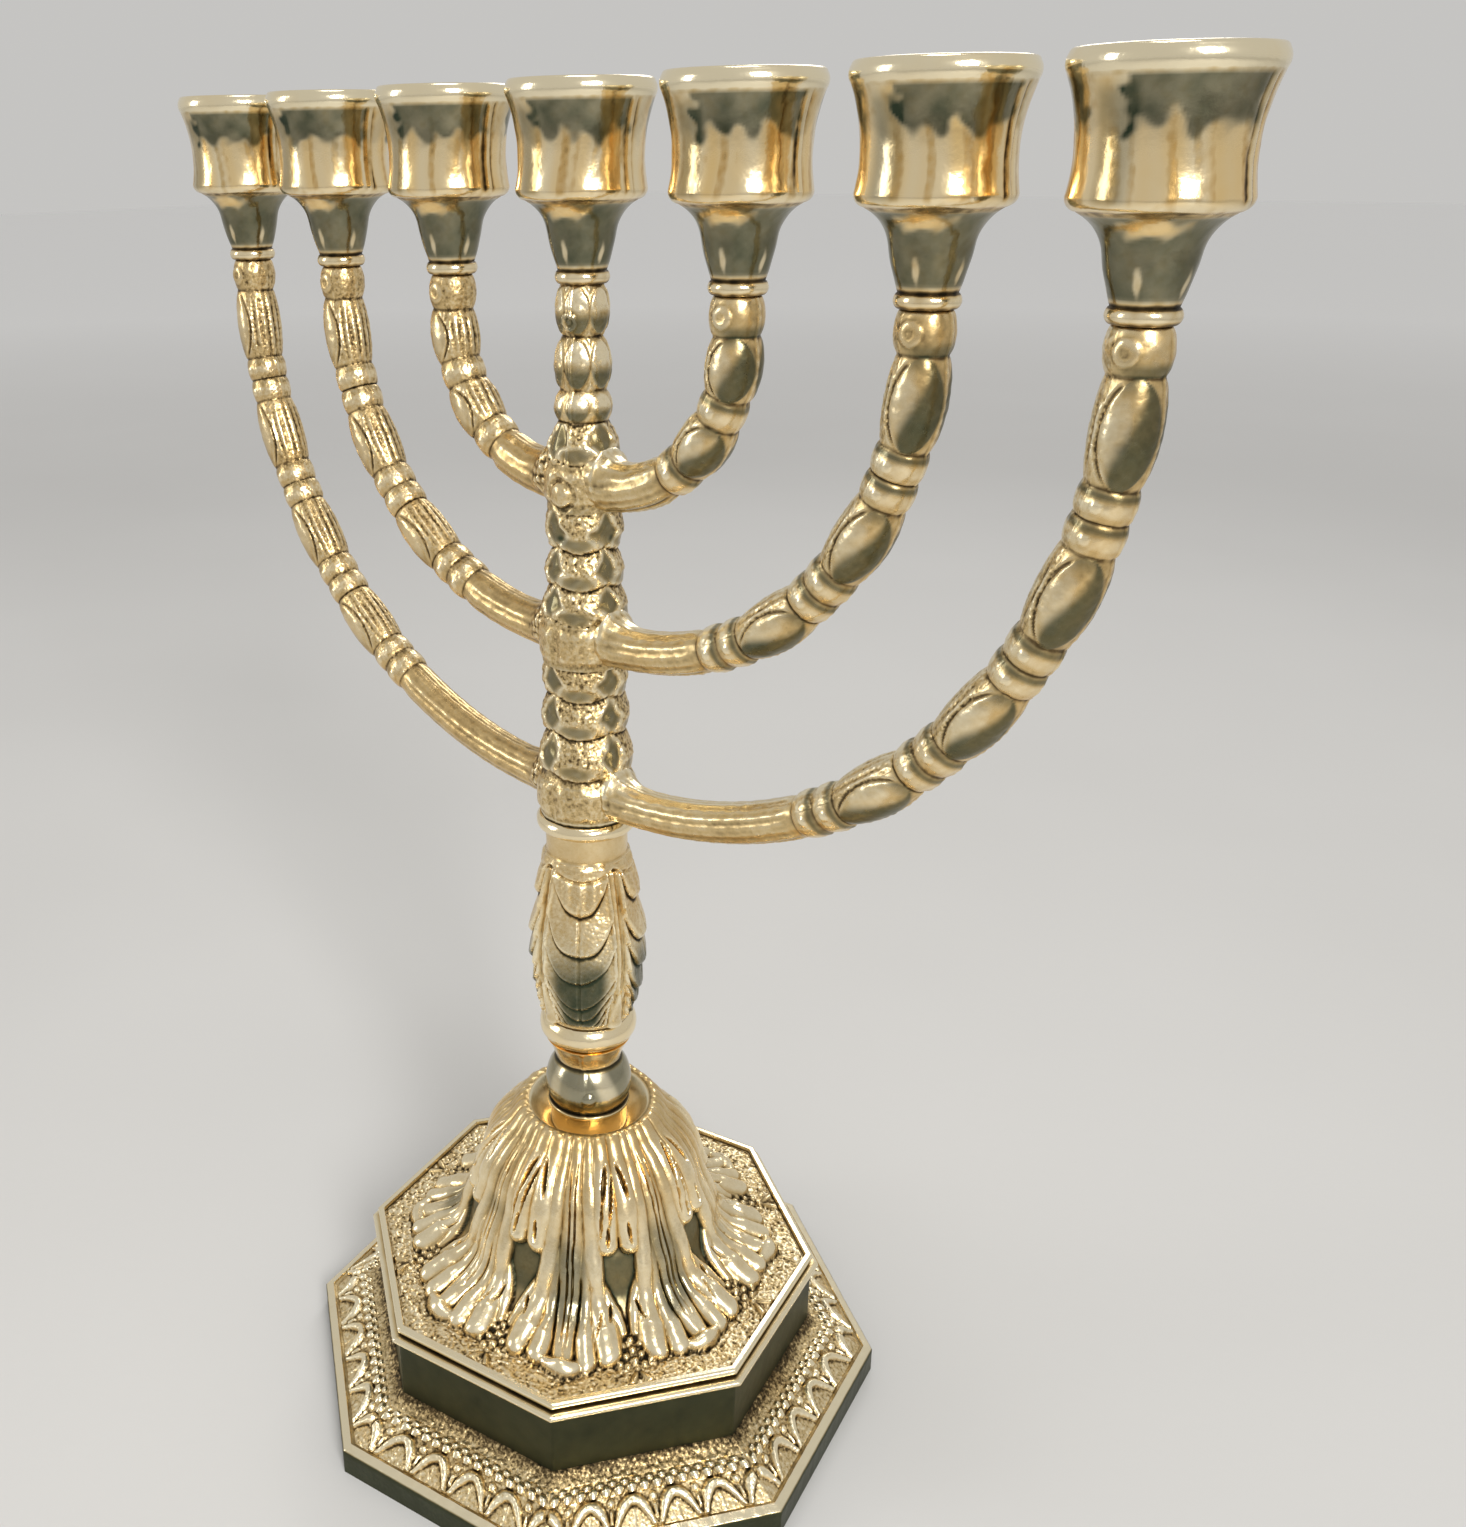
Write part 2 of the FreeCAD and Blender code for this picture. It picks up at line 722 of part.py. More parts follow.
def branch_place(reach, root_height, bend_radius, place):
    """The point and direction at a distance down the branch's centre line from its tip."""
    drop = tip_height - root_height - bend_radius
    bend_length = bend_radius * math.pi / 2
    if place <= drop:
        return Vec(reach, 0, tip_height - place), -UP
    if place < drop + bend_length:
        turn = (place - drop) / bend_radius
        centre = Vec(reach - bend_radius, 0, root_height + bend_radius)
        point = centre + Vec(bend_radius * math.cos(turn), 0, -bend_radius * math.sin(turn))
        return point, Vec(-math.sin(turn), 0, -math.cos(turn))
    over = place - drop - bend_length
    return Vec(reach - bend_radius - over, 0, root_height), -ALONG


def branch(reach, root_height, root_straight, tip_straight, root_radius, junction_radius, almonds, rings,
           almond_length):
    """One quarter arc on the +X side: beads, almonds and rings, coped to the trunk, with a tenon."""
    rise = tip_height - root_height
    bend_radius = min(reach - root_straight, rise - tip_straight)
    whole = rise + reach - 2 * bend_radius + bend_radius * math.pi / 2
    circles = []
    for place, radius in branch_stations(almonds, rings, almond_length, root_radius, whole):
        point, direction = branch_place(reach, root_height, bend_radius, place)
        ring = Part.Circle(point, direction, radius)
        ring.XAxis = ACROSS
        circles.append(Part.Wire(ring.toShape()))
    body = Part.makeLoft(circles, True, True)
    around = cylinder(junction_radius + braze_gap, root_height - reach, root_height + reach)
    tenon_start = Vec(junction_radius - tenon_length, 0, root_height)
    tenon = Part.makeCylinder(tenon_radius, tenon_length + cut_overrun, tenon_start, ALONG)
    return body.cut(around).fuse(tenon).cut(tip_socket(reach))


def candle_cup(reach):
    """One cup: spigot, ring, funnel, bowl with a drawn-in waist and a turned-out lip, and candle bore."""
    funnel_top = cup_ring_height + cup_funnel_length
    bowl_base = funnel_top + cup_under_length
    waist_height = bowl_base + cup_bowl_length
    rim_height = waist_height + cup_flare_length
    bowl_radius = candle_radius + cup_bowl_wall
    rim_radius = candle_radius + cup_rim_wall
    lip_inner = candle_radius + lip_bevel
    edge_radius = bowl_radius - cup_corner_radius
    corner_share = 1 - math.sqrt(2) / 2

    def at(radius, height):
        return (radius, tip_height + height)

    funnel_mid = at((cup_neck_radius + cup_funnel_radius) / 2 + cup_funnel_swell,
                    (cup_ring_height + funnel_top) / 2)
    sweep_mid = at((cup_funnel_radius + edge_radius) / 2 - cup_funnel_swell,
                   (funnel_top + bowl_base) / 2 + cup_funnel_swell)
    corner_mid = at(bowl_radius - cup_corner_radius * corner_share,
                    bowl_base + cup_corner_radius * corner_share)
    corner_top = at(bowl_radius, bowl_base + cup_corner_radius)
    lip_low = at(rim_radius, rim_height - cup_lip_height)
    lip_crest = (rim_radius + lip_inner) / 2
    lip_round = at(rim_radius - (rim_radius - lip_crest) * corner_share,
                   rim_height - cup_lip_height * corner_share)
    lip_top = at(lip_crest, rim_height)
    body = turned([line(at(0, -cup_spigot_length), at(cup_spigot_radius, -cup_spigot_length)),
                   line(at(cup_spigot_radius, -cup_spigot_length), at(cup_spigot_radius, 0)),
                   line(at(cup_spigot_radius, 0), at(cup_neck_radius, 0)),
                   bow(at(cup_neck_radius, 0), at(cup_ring_radius, cup_ring_height / 2),
                       at(cup_neck_radius, cup_ring_height)),
                   bow(at(cup_neck_radius, cup_ring_height), funnel_mid, at(cup_funnel_radius, funnel_top)),
                   bow(at(cup_funnel_radius, funnel_top), sweep_mid, at(edge_radius, bowl_base)),
                   bow(at(edge_radius, bowl_base), corner_mid, corner_top),
                   bow(corner_top, at(candle_radius + cup_waist_wall, waist_height), lip_low),
                   bow(lip_low, lip_round, lip_top),
                   line(lip_top, at(0, rim_height)),
                   line(at(0, rim_height), at(0, -cup_spigot_length))])
    floor = bowl_base + cup_floor
    flare_base = at(candle_radius, rim_height - lip_flare_height)
    hollow = turned([line(at(0, floor), at(candle_radius, floor)),
                     line(at(candle_radius, floor), flare_base),
                     line(flare_base, at(lip_inner, rim_height)),
                     line(at(lip_inner, rim_height), at(0, rim_height)),
                     line(at(0, rim_height), at(0, floor))])
    cup = body.cut(hollow)
    cup.translate(Vec(reach, 0, 0))
    return cup


# What holds it together

washer_base = ceiling_height - washer_thickness
nut_base = washer_base - nut_height


def tie_rod():
    """The rod from below the nut up into the trunk."""
    return cylinder(rod_radius, nut_base - rod_below_nut, seam_height + rod_grip_in_trunk)


def tie_washer():
    """The washer under the dome's crown."""
    washer = cylinder(washer_radius, washer_base, ceiling_height)
    return washer.cut(rod_bore(washer_base, ceiling_height))


def tie_nut():
    """The hexagon nut under the washer."""
    corner = nut_across_flats / 2 / math.cos(math.pi / nut_sides)
    corners = []
    for index in range(nut_sides):
        turn = 2 * math.pi * index / nut_sides
        corners.append(Vec(corner * math.cos(turn), corner * math.sin(turn), nut_base))
    nut = flat_face(corners).extrude(Vec(0, 0, nut_height))
    return nut.cut(cylinder(rod_radius + thread_clearance, nut_base - cut_overrun, washer_base + cut_overrun))


# Every piece to its own file

branch_sizes = (
    ("inner", inner_reach, inner_root_height, inner_root_straight, inner_tip_straight, inner_root_radius,
     inner_junction_radius, inner_almonds, inner_rings, inner_almond_length),
    ("middle", middle_reach, middle_root_height, middle_root_straight, middle_tip_straight,
     middle_root_radius, middle_junction_radius, middle_almonds, middle_rings, middle_almond_length),
    ("outer", outer_reach, outer_root_height, outer_root_straight, outer_tip_straight, outer_root_radius,
     outer_junction_radius, outer_almonds, outer_rings, outer_almond_length),
)


def main():
    """Build and write every piece."""
    os.makedirs("parts", exist_ok=True)
    save(foot_tier(), "foot_tier")
    save(base_dome(), "base_dome")
    save(screw_posts(), "screw_posts")
    save(base_screws(), "base_screws")
    save(stem_bulb(), "stem_bulb")
    save(stem_ring(), "stem_ring")
    save(leaf_baluster(), "leaf_baluster")
    save(collar_ring(), "collar_ring")
    save(trunk(), "trunk")
    for name, *sizes in branch_sizes:
        right = branch(*sizes)
        save(right, "branch_" + name + "_right")
        save(right.mirror(ORIGIN, ALONG), "branch_" + name + "_left")
    reaches = (-outer_reach, -middle_reach, -inner_reach, 0, inner_reach, middle_reach, outer_reach)
    for index, reach in enumerate(reaches):
        save(candle_cup(reach), "candle_cup_" + str(index + 1))
    save(tie_rod(), "tie_rod")
    save(tie_washer(), "tie_washer")
    save(tie_nut(), "tie_nut")


main()
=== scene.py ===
import bpy
import numpy as np
from mathutils import Matrix, Vector
from numpy import (clip, concatenate, cos, full, hypot, maximum, minimum, pi, radians, sin, stack, vstack, where,
                   zeros)


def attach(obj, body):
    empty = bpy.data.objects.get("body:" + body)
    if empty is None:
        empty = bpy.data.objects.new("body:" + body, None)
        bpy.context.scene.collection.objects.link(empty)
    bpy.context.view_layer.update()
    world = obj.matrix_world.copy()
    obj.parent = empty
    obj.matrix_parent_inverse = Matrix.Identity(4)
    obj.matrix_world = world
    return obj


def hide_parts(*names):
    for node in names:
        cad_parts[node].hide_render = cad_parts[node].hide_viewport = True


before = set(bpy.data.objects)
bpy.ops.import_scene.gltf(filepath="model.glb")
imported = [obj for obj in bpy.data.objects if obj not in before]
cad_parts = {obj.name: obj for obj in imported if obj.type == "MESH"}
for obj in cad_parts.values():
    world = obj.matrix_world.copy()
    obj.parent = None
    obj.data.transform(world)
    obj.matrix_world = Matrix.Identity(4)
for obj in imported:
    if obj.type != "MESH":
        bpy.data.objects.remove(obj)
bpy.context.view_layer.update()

# A seven-branch candlestick in cast brass on an eight-sided base.
# Lengths are in millimetres unless a name says otherwise, and are turned into metres where meshes, lamps and
# the camera are made. +Z is up and X runs along the row of cups. In the functions r is a radius, z a height and
# place a point on the plain form. Relief is how far a surface stands out. Each mesh carries four layers with
# values from 0 to 1: the first is how brightly it is rubbed, with painted highlights and painted shade added in
# places; the second is how pitted it is; the third is a painted dark green reflection and painted shade; the
# fourth is how orange it looks, partly the brass's own tint and partly a painted golden reflection.

MM = 0.001

# The camera, fitted to the cup rims, the neck rings and the corners of the base

IMAGE_WIDTH = 1466
IMAGE_HEIGHT = 1527
CENTRE_COLUMN = 559.79
CENTRE_ROW = 709.141
FOCAL_PIXELS = 1452.556
camera_place = (175.66, -183.41, 250.54)
camera_yaw = -0.783
camera_pitch = 0.372
camera_roll = -0.015
sensor_width = 36

# The base

base_sides = 8
base_turn_deg = 12.2
half_side_deg = 22.5
foot_corner_radius = 61.9
foot_edge_height = 5.7
foot_lip_rise = 0.5
foot_groove_width = 0.6
foot_tongue_width = 5.7
foot_tongue_rise = 3.4
foot_bead_width = 2.7
foot_bead_step = 0.7
foot_bead_rise = 0.7
foot_cove_width = 3.15
foot_cove_rise = 1.9
foot_wall = 2.9
ledge_width = 12
ledge_height = 10.3
ledge_thickness = 2.2
riser_corner_radius = 47.6
riser_wall = 2.4
riser_top = 26.2
lip_corner_radius = 49.2
lip_top = 27.3
groove_corner_radius = 47.2
ridge_base = 28.1
ridge_corner_radius = 47.9
ridge_top = 29.4
ridge_width = 1.7
plate_height = 28.4
plate_thickness = 2.4
dome_foot_radius = 38
dome_wall = 3.1
crown_height = 64.3
crown_radius = 12.7
crown_floor = 59.2
ceiling_height = 54.2
neck_radius = 7.9
bore_radius = 6.05
# The bell's side from its foot to its crown: the radius and the height at each station
bell_points = ((38, 28.4), (33.7, 30), (30.2, 32), (27.9, 35.2), (26.9, 40.2),
               (24.3, 47.1), (22.3, 54.2), (18.3, 60.4), (14.7, 63.4), (12.7, 64.3))

# The stem

bulb_spigot_base = 54.7
bulb_spigot_radius = 6
neck_top = 64
stem_ring_base = 80.5
stem_ring_top = 86.5
stem_ring_radius = 9.9
baluster_spigot_base = 78
collar_base = 127.7
collar_ring_radius = 9.7
seam_height = 130.8
tip_height = 228.4
rod_bore_radius = 3.4
register_radius = 5

# The branches and the cups

inner_reach = 33
middle_reach = 66
outer_reach = 96.6
branch_waist = 3.5

# Where a leaf, a scale or a panel points: to a corner of the base, and three more round the axis
panel_turn_deg = base_turn_deg + half_side_deg
panel_width_deg = 90

# How finely a round piece is divided

ring_columns = 144
turned_columns = 160
baluster_columns = 288
trunk_columns = 224
branch_columns = 96


# Small tools for numbers

def rise(low, high, x):
    """0 below low, 1 above high and an S-shaped rise between; it falls where low is above high."""
    t = clip((x - low) / (high - low), 0, 1)
    return t * t * (3 - 2 * t)


def window(a, b, c, d, x):
    """A rise from a to b and a fall from c to d."""
    return rise(a, b, x) * rise(d, c, x)


def ball(distance, reach):
    """The height of a half-round rib or ball, 1 on its middle line and 0 from its reach on."""
    return np.sqrt(clip(1 - (distance / reach) ** 2, 0, 1))


def bump(distance, reach):
    """A bump like ball with feathered edges."""
    return rise(0, 1, 1 - (distance / reach) ** 2)


def wrapped(angle, period):
    """An angle brought to between minus half a period and plus half a period."""
    return (angle + period / 2) % period - period / 2


def arc(degrees, r):
    """How long an angle is at a radius."""
    return np.radians(degrees) * r


def scatter(cell):
    """Three numbers from 0 to 1 that look random, for each whole-number cell; the last axis is x, y, z."""
    value = sin(cell @ np.array([[127.1, 269.5, 113.5], [311.7, 183.3, 271.9], [74.7, 246.1, 124.6]]))
    return value * 43758.5453 % 1


def pebbles(points, size):
    """Small round bumps packed irregularly over a surface: 1 on top of a bump, 0 between bumps."""
    cell = np.floor(points / size)
    nearest = full(points.shape[:-1], 9.0)
    for shift in np.ndindex(3, 3, 3):
        near = cell + np.array(shift) - 1
        middle = (near + 0.5 + 0.7 * (scatter(near) - 0.5)) * size
        nearest = minimum(nearest, ((points - middle) ** 2).sum(-1) / size ** 2)
    return clip(1 - nearest / 0.45, 0, 1)


def wobble(points, size):
    """A slow irregular swell between -1 and 1 over a surface."""
    x, y, z = np.moveaxis(points * (2 * pi / size), -1, 0)
    first = sin(x + 1.3 * sin(0.7 * y + 0.4)) * sin(0.9 * y + 1.1 * sin(0.8 * z))
    second = sin(1.7 * z + 0.9 * sin(x - y)) * sin(0.6 * x + 1.3 * y)
    return 0.6 * first + 0.4 * second


def spread(values, reach):
    """A grid of values blurred along rows and round the columns."""
    for _ in range(reach):
        padded = vstack([values[:1], values, values[-1:]])
        values = (values * 2 + padded[:-2] + padded[2:] + np.roll(values, 1, 1) + np.roll(values, -1, 1)) / 6
    return values


def hollows(relief, depth, reach):
    """0 in narrow recesses, about 0.5 on plain ground and 1 on narrow ridges."""
    return clip(0.5 + 0.5 * (relief - spread(relief, reach)) / depth, 0, 1)


def lengths(points):
    """How far along a line of points each point is."""
    return concatenate([[0], np.cumsum(hypot(*np.diff(points, axis=0).T))])


def curve_through(points, step):
    """Points close together on a smooth line through a few points."""
    p = np.array(points, float)
    place = lengths(p)
    slope = np.gradient(p, place, axis=0)
    out = []
    for i, length in enumerate(np.diff(place)):
        t = np.linspace(0, 1, max(2, round(length / step)), endpoint=False)[:, None]
        out.append((2 * t ** 3 - 3 * t ** 2 + 1) * p[i] + (t ** 3 - 2 * t ** 2 + t) * length * slope[i]
                   + (3 * t ** 2 - 2 * t ** 3) * p[i + 1] + (t ** 3 - t ** 2) * length * slope[i + 1])
    return vstack(out + [p[-1:]])


def straight(points, step):
    """Points close together on straight lines from corner to corner."""
    p = np.array(points, float)
    out = [np.linspace(a, b, max(1, round(hypot(*(b - a)) / step)), endpoint=False) for a, b in zip(p[:-1], p[1:])]
    return vstack(out + [p[-1:]])


def arc_through(a, b, c, count):
    """Points on the round arc from a through b to c."""
    a, b, c = (complex(*p) for p in (a, b, c))
    w = (c - a) / (b - a)
    middle = a + (b - a) * (w - abs(w) ** 2) / (2j * w.imag)
    past, sweep = (np.angle((p - middle) / (a - middle)) % (2 * pi) for p in (b, c))
    if past > sweep:
        sweep -= 2 * pi
    points = middle + (a - middle) * np.exp(1j * np.linspace(0, sweep, count))
    return stack([points.real, points.imag], -1)


def outline_normals(outline, closed=False):
    """The outward direction at each point of an outline of radii and heights."""
    along = np.roll(outline, -1, 0) - np.roll(outline, 1, 0) if closed else np.gradient(outline, axis=0)
    normal = stack([along[:, 1], -along[:, 0]], -1)
    return normal / maximum(np.linalg.norm(normal, axis=1, keepdims=True), 1e-9)


def columns_of(outline):
    """The radii and the heights of an outline, each as a column."""
    return outline.T[..., None]


def full_turn(count, start_deg=0):
    """Angles evenly round the axis, in radians, and the directions that they give."""
    angles = radians(start_deg) + np.arange(count) * 2 * pi / count
    return angles, (cos(angles), sin(angles))


def around(r, directions, z, axis_x=0):
    """Points at a radius and a height in each direction from an upright axis."""
    x, y = directions
    return stack(np.broadcast_arrays(axis_x + r * x, r * y, z), -1)


def round_grid(outline, relief, directions, axis_x=0):
    """An outline taken round an upright axis and raised along its normals."""
    (r, z), (out, up) = columns_of(outline), columns_of(outline_normals(outline))
    return around(r + out * relief, directions, z + up * relief, axis_x)


# Materials

PATINA = (0.026, 0.021, 0.012)
BROWN = (0.15, 0.105, 0.05)
GOLD = (0.70, 0.53, 0.265)
BRIGHT = (0.96, 0.85, 0.60)
# Painted reflection: the dark green that polished brass shows of dark surroundings
REFLECTION_GREEN = (0.043, 0.060, 0.036)
# An orange tint, partly the brass's own colour and partly a painted golden reflection
ORANGE = (0.98, 0.78, 0.47)
STEEL_DARK = (0.30, 0.29, 0.26)
STEEL_PALE = (0.60, 0.60, 0.58)
POST_DARK = (0.10, 0.075, 0.035)
POST_PALE = (0.42, 0.31, 0.15)
FLOOR_DARK = (0.60, 0.59, 0.57)
FLOOR_PALE = (0.64, 0.63, 0.61)
FLOOR_FAR = (0.97, 0.97, 0.97)
SKY = (0.80, 0.79, 0.77)
layer_names = ("wear_and_painted_light", "stipple", "reflection_and_shade", "warm_and_reflection")


class Paint:
    """A material's nodes, made one after another."""

    def __init__(self, name):
        self.material = bpy.data.materials.new(name)
        self.material.use_nodes = True
        self.tree = self.material.node_tree

    def node(self, kind, inputs, output=0, **settings):
        """The output of a new node with its settings and with its inputs set to values or other outputs."""
        made = self.tree.nodes.new("ShaderNode" + kind)
        for key, value in settings.items():
            setattr(made, key, value)
        self.join(made, inputs)
        return made.outputs[output]

    def join(self, node, inputs):
        """Set a node's inputs to values or to other outputs."""
        for key, value in inputs.items():
            if isinstance(value, bpy.types.NodeSocket):
                self.tree.links.new(value, node.inputs[key])
            else:
                node.inputs[key].default_value = value

    def math(self, kind, a, b, c=0, clamp=False):
        """A math node on two inputs, or on three where its kind takes them."""
        return self.node("Math", {0: a, 1: b, 2: c}, operation=kind, use_clamp=clamp)

    def span(self, value, low, high, to_low, to_high):
        """A value brought from one span of numbers to another, and kept within it."""
        return self.node("MapRange", {"Value": value, "From Min": low, "From Max": high,
                                      "To Min": to_low, "To Max": to_high})

    def ramp(self, factor, *stops):
        """A colour ramp through stops of a place and a colour."""
        output = self.node("ValToRGB", {0: factor})
        elements = output.node.color_ramp.elements
        while len(elements) < len(stops):
            elements.new(0.5)
        for element, (place, colour) in zip(elements, stops):
            element.position = place
            element.color = (*colour, 1)
        return output

    def mix(self, factor, output, colour, kind="MIX"):
        """An output mixed with a colour."""
        return self.node("Mix", {0: factor, 6: output, 7: (*colour, 1)}, 2, data_type="RGBA", blend_type=kind)

    def place(self):
        """The place in the object's own space, in metres."""
        return self.node("TexCoord", {}, "Object")

    def noise(self, scale, detail, rough=0.55, stretch=(1, 1, 1)):
        """Cloudy noise in the object's own space; scale is in features per metre."""
        place = self.node("Mapping", {"Vector": self.place(), "Scale": stretch})
        return self.node("TexNoise", {"Vector": place, "Scale": scale, "Detail": detail, "Roughness": rough})

    def finish(self, colour, roughness, height, strength, depth, metallic=1):
        """Join the results to the shader, with the height as a bump of a strength and a depth in metres."""
        normal = self.node("Bump", {"Strength": strength, "Distance": depth, "Height": height})
        self.join(self.tree.nodes["Principled BSDF"], {"Base Color": colour, "Roughness": roughness,
                                                       "Normal": normal, "Metallic": metallic})
        return self.material


def brass_material(name, darkest, pitting, polish):
    """Brass with a dark patina in its recesses, rubbed bright on its ridges, with painted highlights, painted shade,
    a painted dark green reflection and an orange tint that is partly a painted golden reflection, all read from the
    mesh layers.

    darkest shifts the patina up or down, pitting is how deeply the stipple layer pits the surface, and
    polish is the roughness of a polished place."""
    paint = Paint(name)
    wear_and_painted_light, stipple, reflection_and_shade, warm_and_reflection = (paint.node("Attribute", {}, "Fac", attribute_name=layer) for layer in layer_names)
    clouds = paint.noise(170, 5)
    grains = paint.math("SUBTRACT", paint.noise(1500, 3, 0.6), 0.5)
    shifted = paint.math("MULTIPLY_ADD", clouds, 0.26, darkest - 0.13)
    shifted = paint.math("ADD", wear_and_painted_light, shifted)
    pitted = paint.math("MULTIPLY", grains, stipple)
    wear_and_painted_light = paint.math("MULTIPLY_ADD", pitted, 1.3, shifted, clamp=True)
    colour = paint.ramp(wear_and_painted_light, (0.14, PATINA), (0.32, BROWN), (0.50, GOLD), (0.74, BRIGHT))
    # Orange from noise and from the fourth layer, which holds a painted golden reflection in places
    glow = paint.span(paint.noise(75, 3), 0.52, 0.8, 0, 0.3)
    glow = paint.math("MULTIPLY_ADD", warm_and_reflection, 0.8, glow, clamp=True)
    colour = paint.mix(glow, colour, ORANGE, "MULTIPLY")
    mottled = paint.math("MULTIPLY_ADD", clouds, 0.5, 0.72)
    # The painted dark green reflection and painted shade of the third layer
    colour = paint.mix(paint.math("MULTIPLY", reflection_and_shade, mottled, clamp=True), colour, REFLECTION_GREEN)
    roughness = paint.span(wear_and_painted_light, 0.15, 0.6, 0.5, polish)
    roughness = paint.math("MULTIPLY_ADD", stipple, 0.12, roughness)
    roughness = paint.math("MULTIPLY_ADD", clouds, 0.07, roughness)
    cells = paint.node("TexVoronoi", {"Vector": paint.place(), "Scale": 1500}, feature="SMOOTH_F1")
    pits = paint.math("MULTIPLY", cells, paint.math("MULTIPLY", stipple, pitting))
    height = paint.math("MULTIPLY_ADD", paint.noise(600, 4), 0.2, pits)
    return paint.finish(colour, roughness, height, 0.6, 0.0004)


def plain_material(name, dark, pale):
    """A plain metal between two colours, dulled, stained and finely scratched."""
    paint = Paint(name)
    clouds = paint.noise(300, 5)
    colour = paint.ramp(clouds, (0.3, dark), (0.7, pale))
    scratches = paint.noise(900, 3, 0.6, (1, 1, 0.1))
    return paint.finish(colour, paint.span(clouds, 0, 1, 0.28, 0.5), scratches, 0.25, 0.0002)


antique = ("antique_brass", brass_material("cast_brass", 0, 0.9, 0.19))
polished = ("polished_brass", brass_material("polished_brass", 0.06, 0.5, 0.12))
steel = plain_material("plated_steel", STEEL_DARK, STEEL_PALE)
post_brass = plain_material("post_brass", POST_DARK, POST_PALE)


def piece(name, body, metal, nodes, grid, layers, ring_of_rows=True, sharp_deg=60):
    """One visible piece that rides on a body and stands for its solids.

    It is a closed mesh from a grid of points whose columns go round and whose rows go round too, or along
    from one end to the other. The layers are values or grids of them."""
    slot, material = metal
    index = np.arange(grid[..., 0].size).reshape(grid.shape[:2])
    points = grid.reshape(-1, 3) * MM
    values = [clip(np.broadcast_to(layer, index.shape), 0, 1) for layer in layers]
    flat = [value.ravel() for value in values]
    low, high = (index, np.roll(index, -1, 0)) if ring_of_rows else (index[:-1], index[1:])
    faces = stack([low, np.roll(low, -1, 1), np.roll(high, -1, 1), high], -1).reshape(-1, 4).tolist()
    if not ring_of_rows:
        for row, centre in ((index[0][::-1], len(points)), (index[-1], len(points) + 1)):
            faces += [(centre, int(a), int(b)) for a, b in zip(row, np.roll(row, -1))]
        points = vstack([points, points[index[[0, -1]]].mean(1)])
        flat = [concatenate([value.ravel(), value[[0, -1]].mean(1)]) for value in values]
    mesh = bpy.data.meshes.new(name)
    mesh.from_pydata(points.tolist(), [], faces)
    for layer, value in zip(layer_names, flat):
        mesh.attributes.new(layer, "FLOAT", "POINT").data.foreach_set("value", value.astype(np.float32))
    mesh.polygons.foreach_set("use_smooth", [True] * len(mesh.polygons))
    mesh.set_sharp_from_angle(angle=radians(sharp_deg))
    mesh.materials.append(material)
    obj = bpy.data.objects.new(name, mesh)
    bpy.context.scene.collection.objects.link(obj)
    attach(obj, body)
    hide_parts(*nodes)


# The foot tier

foot_cove_outer = riser_corner_radius + foot_cove_width
foot_tongue_inner = foot_cove_outer + foot_bead_width
foot_tongue_outer = foot_tongue_inner + foot_tongue_width
foot_lip_inner = foot_tongue_outer + foot_groove_width
foot_tongue_top = foot_edge_height + foot_tongue_rise
foot_bead_top = foot_tongue_top + foot_bead_step + foot_bead_rise
foot_columns = 190
arches_per_side = 5
arch_top = 1.2
arch_fall = 5.6
beads_per_side = 16
# The two rows of beads: the way in, the shift in pitches, the radius and the height
bead_rows = ((0.75, 0, 1, 0.72), (1.95, 0.5, 0.8, 0.5))


def octagon_directions(columns_per_side):
    """Points once round an octagon whose corners are 1 from the axis, and each one's place along its side
    from -1 to 1."""
    turn = radians(panel_turn_deg + 2 * half_side_deg * np.arange(base_sides + 1))
    corner = stack([cos(turn), sin(turn)])[..., None]
    share = np.arange(columns_per_side) / columns_per_side
    point = corner[:, :-1] + (corner[:, 1:] - corner[:, :-1]) * share
    return point.reshape(2, -1), np.tile(2 * share - 1, base_sides)


def foot_outline():
    """The closed outline of the foot tier: its corner radius and height, band and share of the band."""
    seat = riser_corner_radius + 0.05
    ledge_inner = seat - ledge_width
    ledge_base = ledge_height - ledge_thickness
    bands = (
        ("side", [(foot_corner_radius, 0), (foot_corner_radius, foot_edge_height - 0.3)], 1.2),
        ("edge", [(foot_corner_radius - 0.3, foot_edge_height),
                  (foot_lip_inner + 0.2, foot_edge_height + foot_lip_rise)], 0.45),
        ("groove", [(foot_lip_inner, foot_edge_height + 0.1), (foot_tongue_outer, foot_edge_height)], 0.3),
        ("arch", [(foot_tongue_outer - 0.05, foot_edge_height + 0.05), (foot_tongue_inner, foot_tongue_top)],
         0.22),
        ("bead", [(foot_tongue_inner - 0.1, foot_tongue_top + foot_bead_step - 0.1),
                  (foot_cove_outer, foot_bead_top)], 0.2),
        ("cove", [(foot_cove_outer - 0.1, foot_bead_top + 0.05),
                  ((foot_cove_outer + seat) / 2, foot_bead_top + foot_cove_rise / 4),
                  (seat, foot_bead_top + foot_cove_rise)], 0.3),
        ("plain", [(seat, ledge_height), (ledge_inner, ledge_height), (ledge_inner, ledge_base),
                   (foot_tongue_inner - foot_wall, ledge_base),
                   (foot_tongue_outer - foot_wall / 2, foot_edge_height - foot_wall),
                   (foot_corner_radius - foot_wall, 0)], 3))
    stretches = [straight(corners, step) for _, corners, step in bands]
    counts = [len(stretch) for stretch in stretches]
    shares = concatenate([np.linspace(0, 1, count) for count in counts])
    return vstack(stretches), np.repeat([band[0] for band in bands], counts), shares[:, None]


